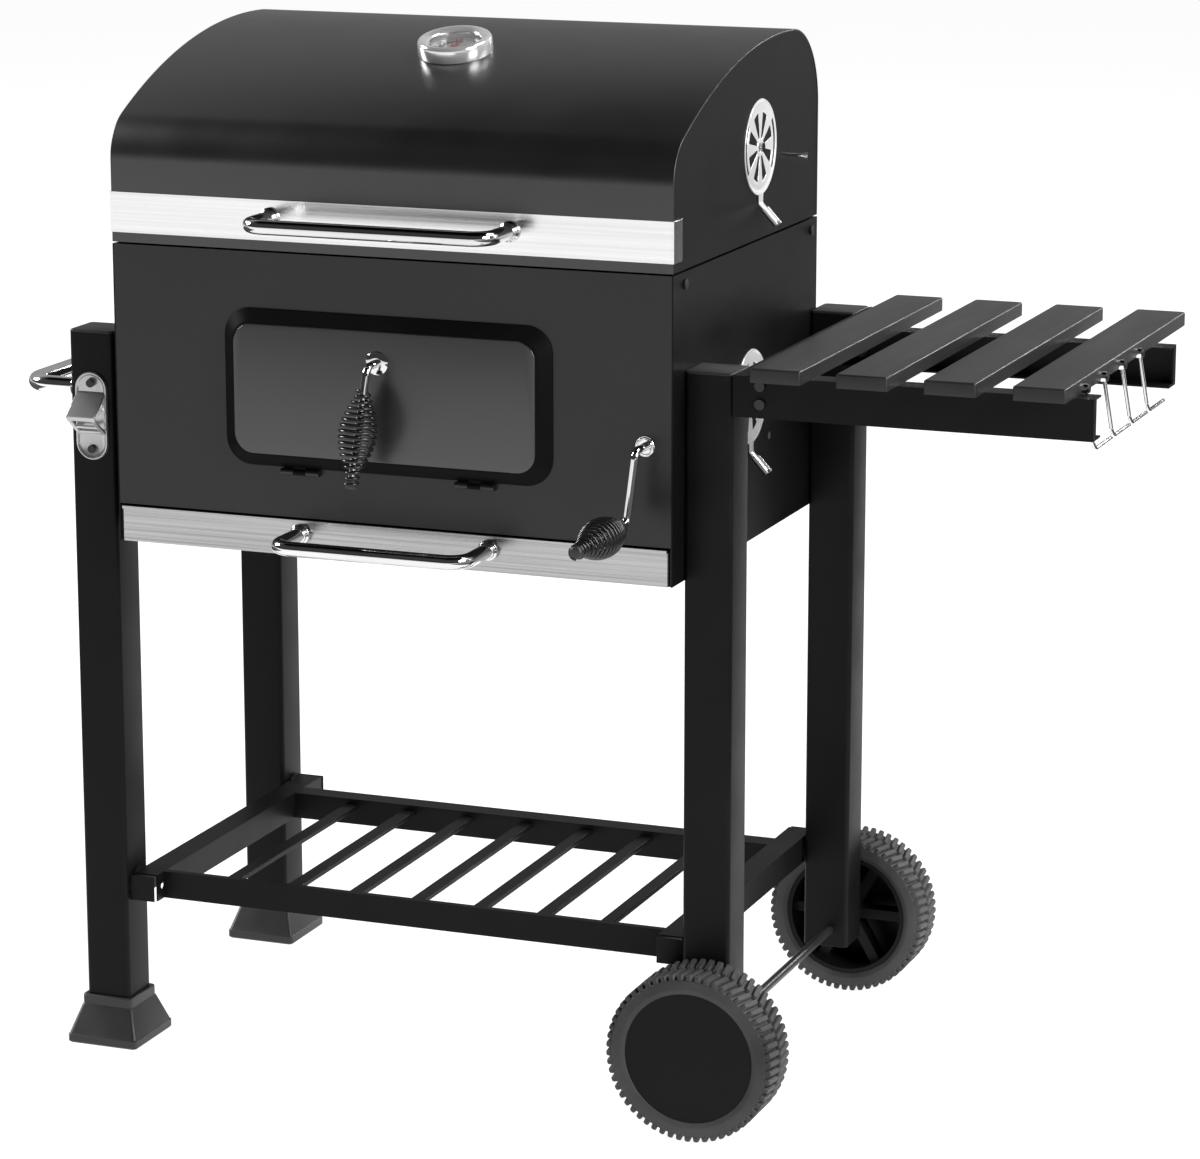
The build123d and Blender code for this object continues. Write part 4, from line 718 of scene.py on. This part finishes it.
# bottle opener
opener = {"wide": 36.0, "floor": 1.4, "sheet": 2.4, "ridge": 27.0, "hoodHalf": 16.5, "armOut": 13.9,
          "armHalf": 2.6, "barHalf": 14.0, "heights": (0.76, 0.53, 0.49, 0.30)}
low, high = boxOf("bottle_opener")
legFace = boxOf("leg_front_left")[0][1]
tall, centreX, centreZ = high[2] - low[2], (low[0] + high[0]) / 2, (low[2] + high[2]) / 2
halfWide = opener["wide"] / 2
plate = [(0, 0), (0, 2.4), (0.5, 3.2), (1.4, 3.4), (2.4, 3.0), (3.2, 1.8), (4.2, opener["floor"])]
plateLevels = [(halfWide - i, tall / 2 - i, halfWide - i - 0.01, h) for i, h in plate]
shells = [skin(put(stacked(plateLevels, 10), (centreX, legFace, centreZ), facingFront))]
ridge = legFace - opener["ridge"]
hoodY = (legFace - 2, ridge, ridge + 3, legFace - 2)
hood = rounded([(centreX, y, low[2] + share * tall) for y, share in zip(hoodY, opener["heights"])], (2, 2), 4)
upper = hood[:8]
shells.append(skin(carried(upper, roundedBox(opener["hoodHalf"], opener["sheet"] / 2, 0.9, 3), (1, 0, 0))))
lower = hood[7:]
armSection = roundedBox(opener["armHalf"], opener["sheet"] / 2, 0.9, 3)
for x in (-opener["armOut"], opener["armOut"]):
    shells.append(skin(carried(lower + (x, 0, 0), armSection, (1, 0, 0))))
for share, size in ((0.50, 1.8), (0.86, 2.0)):
    spot = lower[0] + (lower[-1] - lower[0]) * share
    bar = np.array((spot - (opener["barHalf"], 0, 0), spot + (opener["barHalf"], 0, 0)))
    shells.append(skin(carried(bar, roundedBox(size, 1.2, 0.6, 3), (0, 0.6, -0.8))))
newPiece("bottle_opener.cast", shells, "cart", "opener_steel", ["bottle_opener"], sharp=45)
print("opener done")

# studio
reach = 60.0


def laySheet(name, corners, high, colour, rough, glow=0.0):
    # One flat face through four corners, with a plain finish of its own
    mesh = bpy.data.meshes.new(name)
    mesh.from_pydata([(*corner, high) for corner in corners], [], [(0, 1, 2, 3)])
    sheet = bpy.data.objects.new(name, mesh)
    bpy.context.scene.collection.objects.link(sheet)
    mesh.materials.append(makeFinish(name, colour, rough, 0.02, 3, 0, mottle=0.01, shine=0.0, glow=glow))
    return sheet


floorCorners = ((-reach, -reach), (reach, -reach), (reach, reach), (-reach, reach))
floor = laySheet("floor", floorCorners, 0, 0.25, 0.8, glow=0.93)

# dark cloths on the floor at both sides, which show in reflections only
cloths = {
    "right_cloth": ((0.95, -4.0), (8.0, -4.0), (8.0, 12.0), (0.95, 12.0)),
    "left_cloth": ((-9.0, -1.2), (-1.3, -1.2), (-1.3, 0.9), (-9.0, 14.6)),
}
for name, corners in cloths.items():
    cloth = laySheet(name, corners, 0.002, 0.07, 0.9)
    cloth.visible_camera = cloth.visible_shadow = cloth.visible_diffuse = False

lights = {
    "key": {"place": (-6.2, 0.0, 3.6), "size": 2.4, "power": 420},
    "top": {"place": (3.4, 1.4, 5.0), "size": 2.5, "power": 220},
    "right": {"place": (5.0, -1.8, 3.0), "size": 3.0, "power": 320},
    "rim": {"place": (2.4, 7.0, 3.0), "size": 1.2, "power": 90},
}
target = Vector((0, 0, 0.6))
for name, settings in lights.items():
    data = bpy.data.lights.new(name, "AREA")
    data.shape = "DISK"
    data.size = settings["size"]
    data.energy = settings["power"]
    lamp = bpy.data.objects.new(name, data)
    lamp.location = settings["place"]
    lamp.rotation_euler = (target - lamp.location).to_track_quat("-Z", "Y").to_euler()
    bpy.context.scene.collection.objects.link(lamp)

# the sky's grey by height, and how far it falls towards the viewer's side
sky = {"heights": (0.0, 0.25, 0.6, 0.74, 0.86), "greys": (0.32, 0.29, 0.36, 0.24, 0.006), "front": 0.15}
world = bpy.data.worlds.new("studio")
bpy.context.scene.world = world
world.use_nodes = True
tree = world.node_tree
coords = tree.nodes.new("ShaderNodeTexCoord")
split = tree.nodes.new("ShaderNodeSeparateXYZ")
ramp = tree.nodes.new("ShaderNodeValToRGB")
side = tree.nodes.new("ShaderNodeMapRange")
for label, value in (("From Min", -0.1), ("From Max", 0.35), ("To Min", sky["front"]), ("To Max", 1.0)):
    side.inputs[label].default_value = value
tree.links.new(coords.outputs["Generated"], split.inputs["Vector"])
tree.links.new(split.outputs["Z"], ramp.inputs["Fac"])
tree.links.new(split.outputs["Y"], side.inputs["Value"])
tree.links.new(ramp.outputs["Color"], tree.nodes["Background"].inputs["Color"])
tree.links.new(side.outputs["Result"], tree.nodes["Background"].inputs["Strength"])
stops = ramp.color_ramp.elements
stops.remove(stops[1])
stops[0].color = (sky["greys"][0],) * 3 + (1,)
for height, grey in zip(sky["heights"][1:], sky["greys"][1:]):
    stops.new(height).color = (grey, grey, grey, 1)

camera = {"place": (1.55325, -3.9632, 1.4963), "tilt": 76.99, "turn": 21.13, "lens": 126.9}
view = bpy.data.cameras.new("camera")
view.lens = camera["lens"]
view.sensor_width = 36
view.clip_end = 200
eye = bpy.data.objects.new("camera", view)
eye.location = camera["place"]
eye.rotation_euler = (radians(camera["tilt"]), 0, radians(camera["turn"]))
bpy.context.scene.collection.objects.link(eye)
bpy.context.scene.camera = eye
bpy.context.scene.view_settings.view_transform = "Standard"

print("studio done")
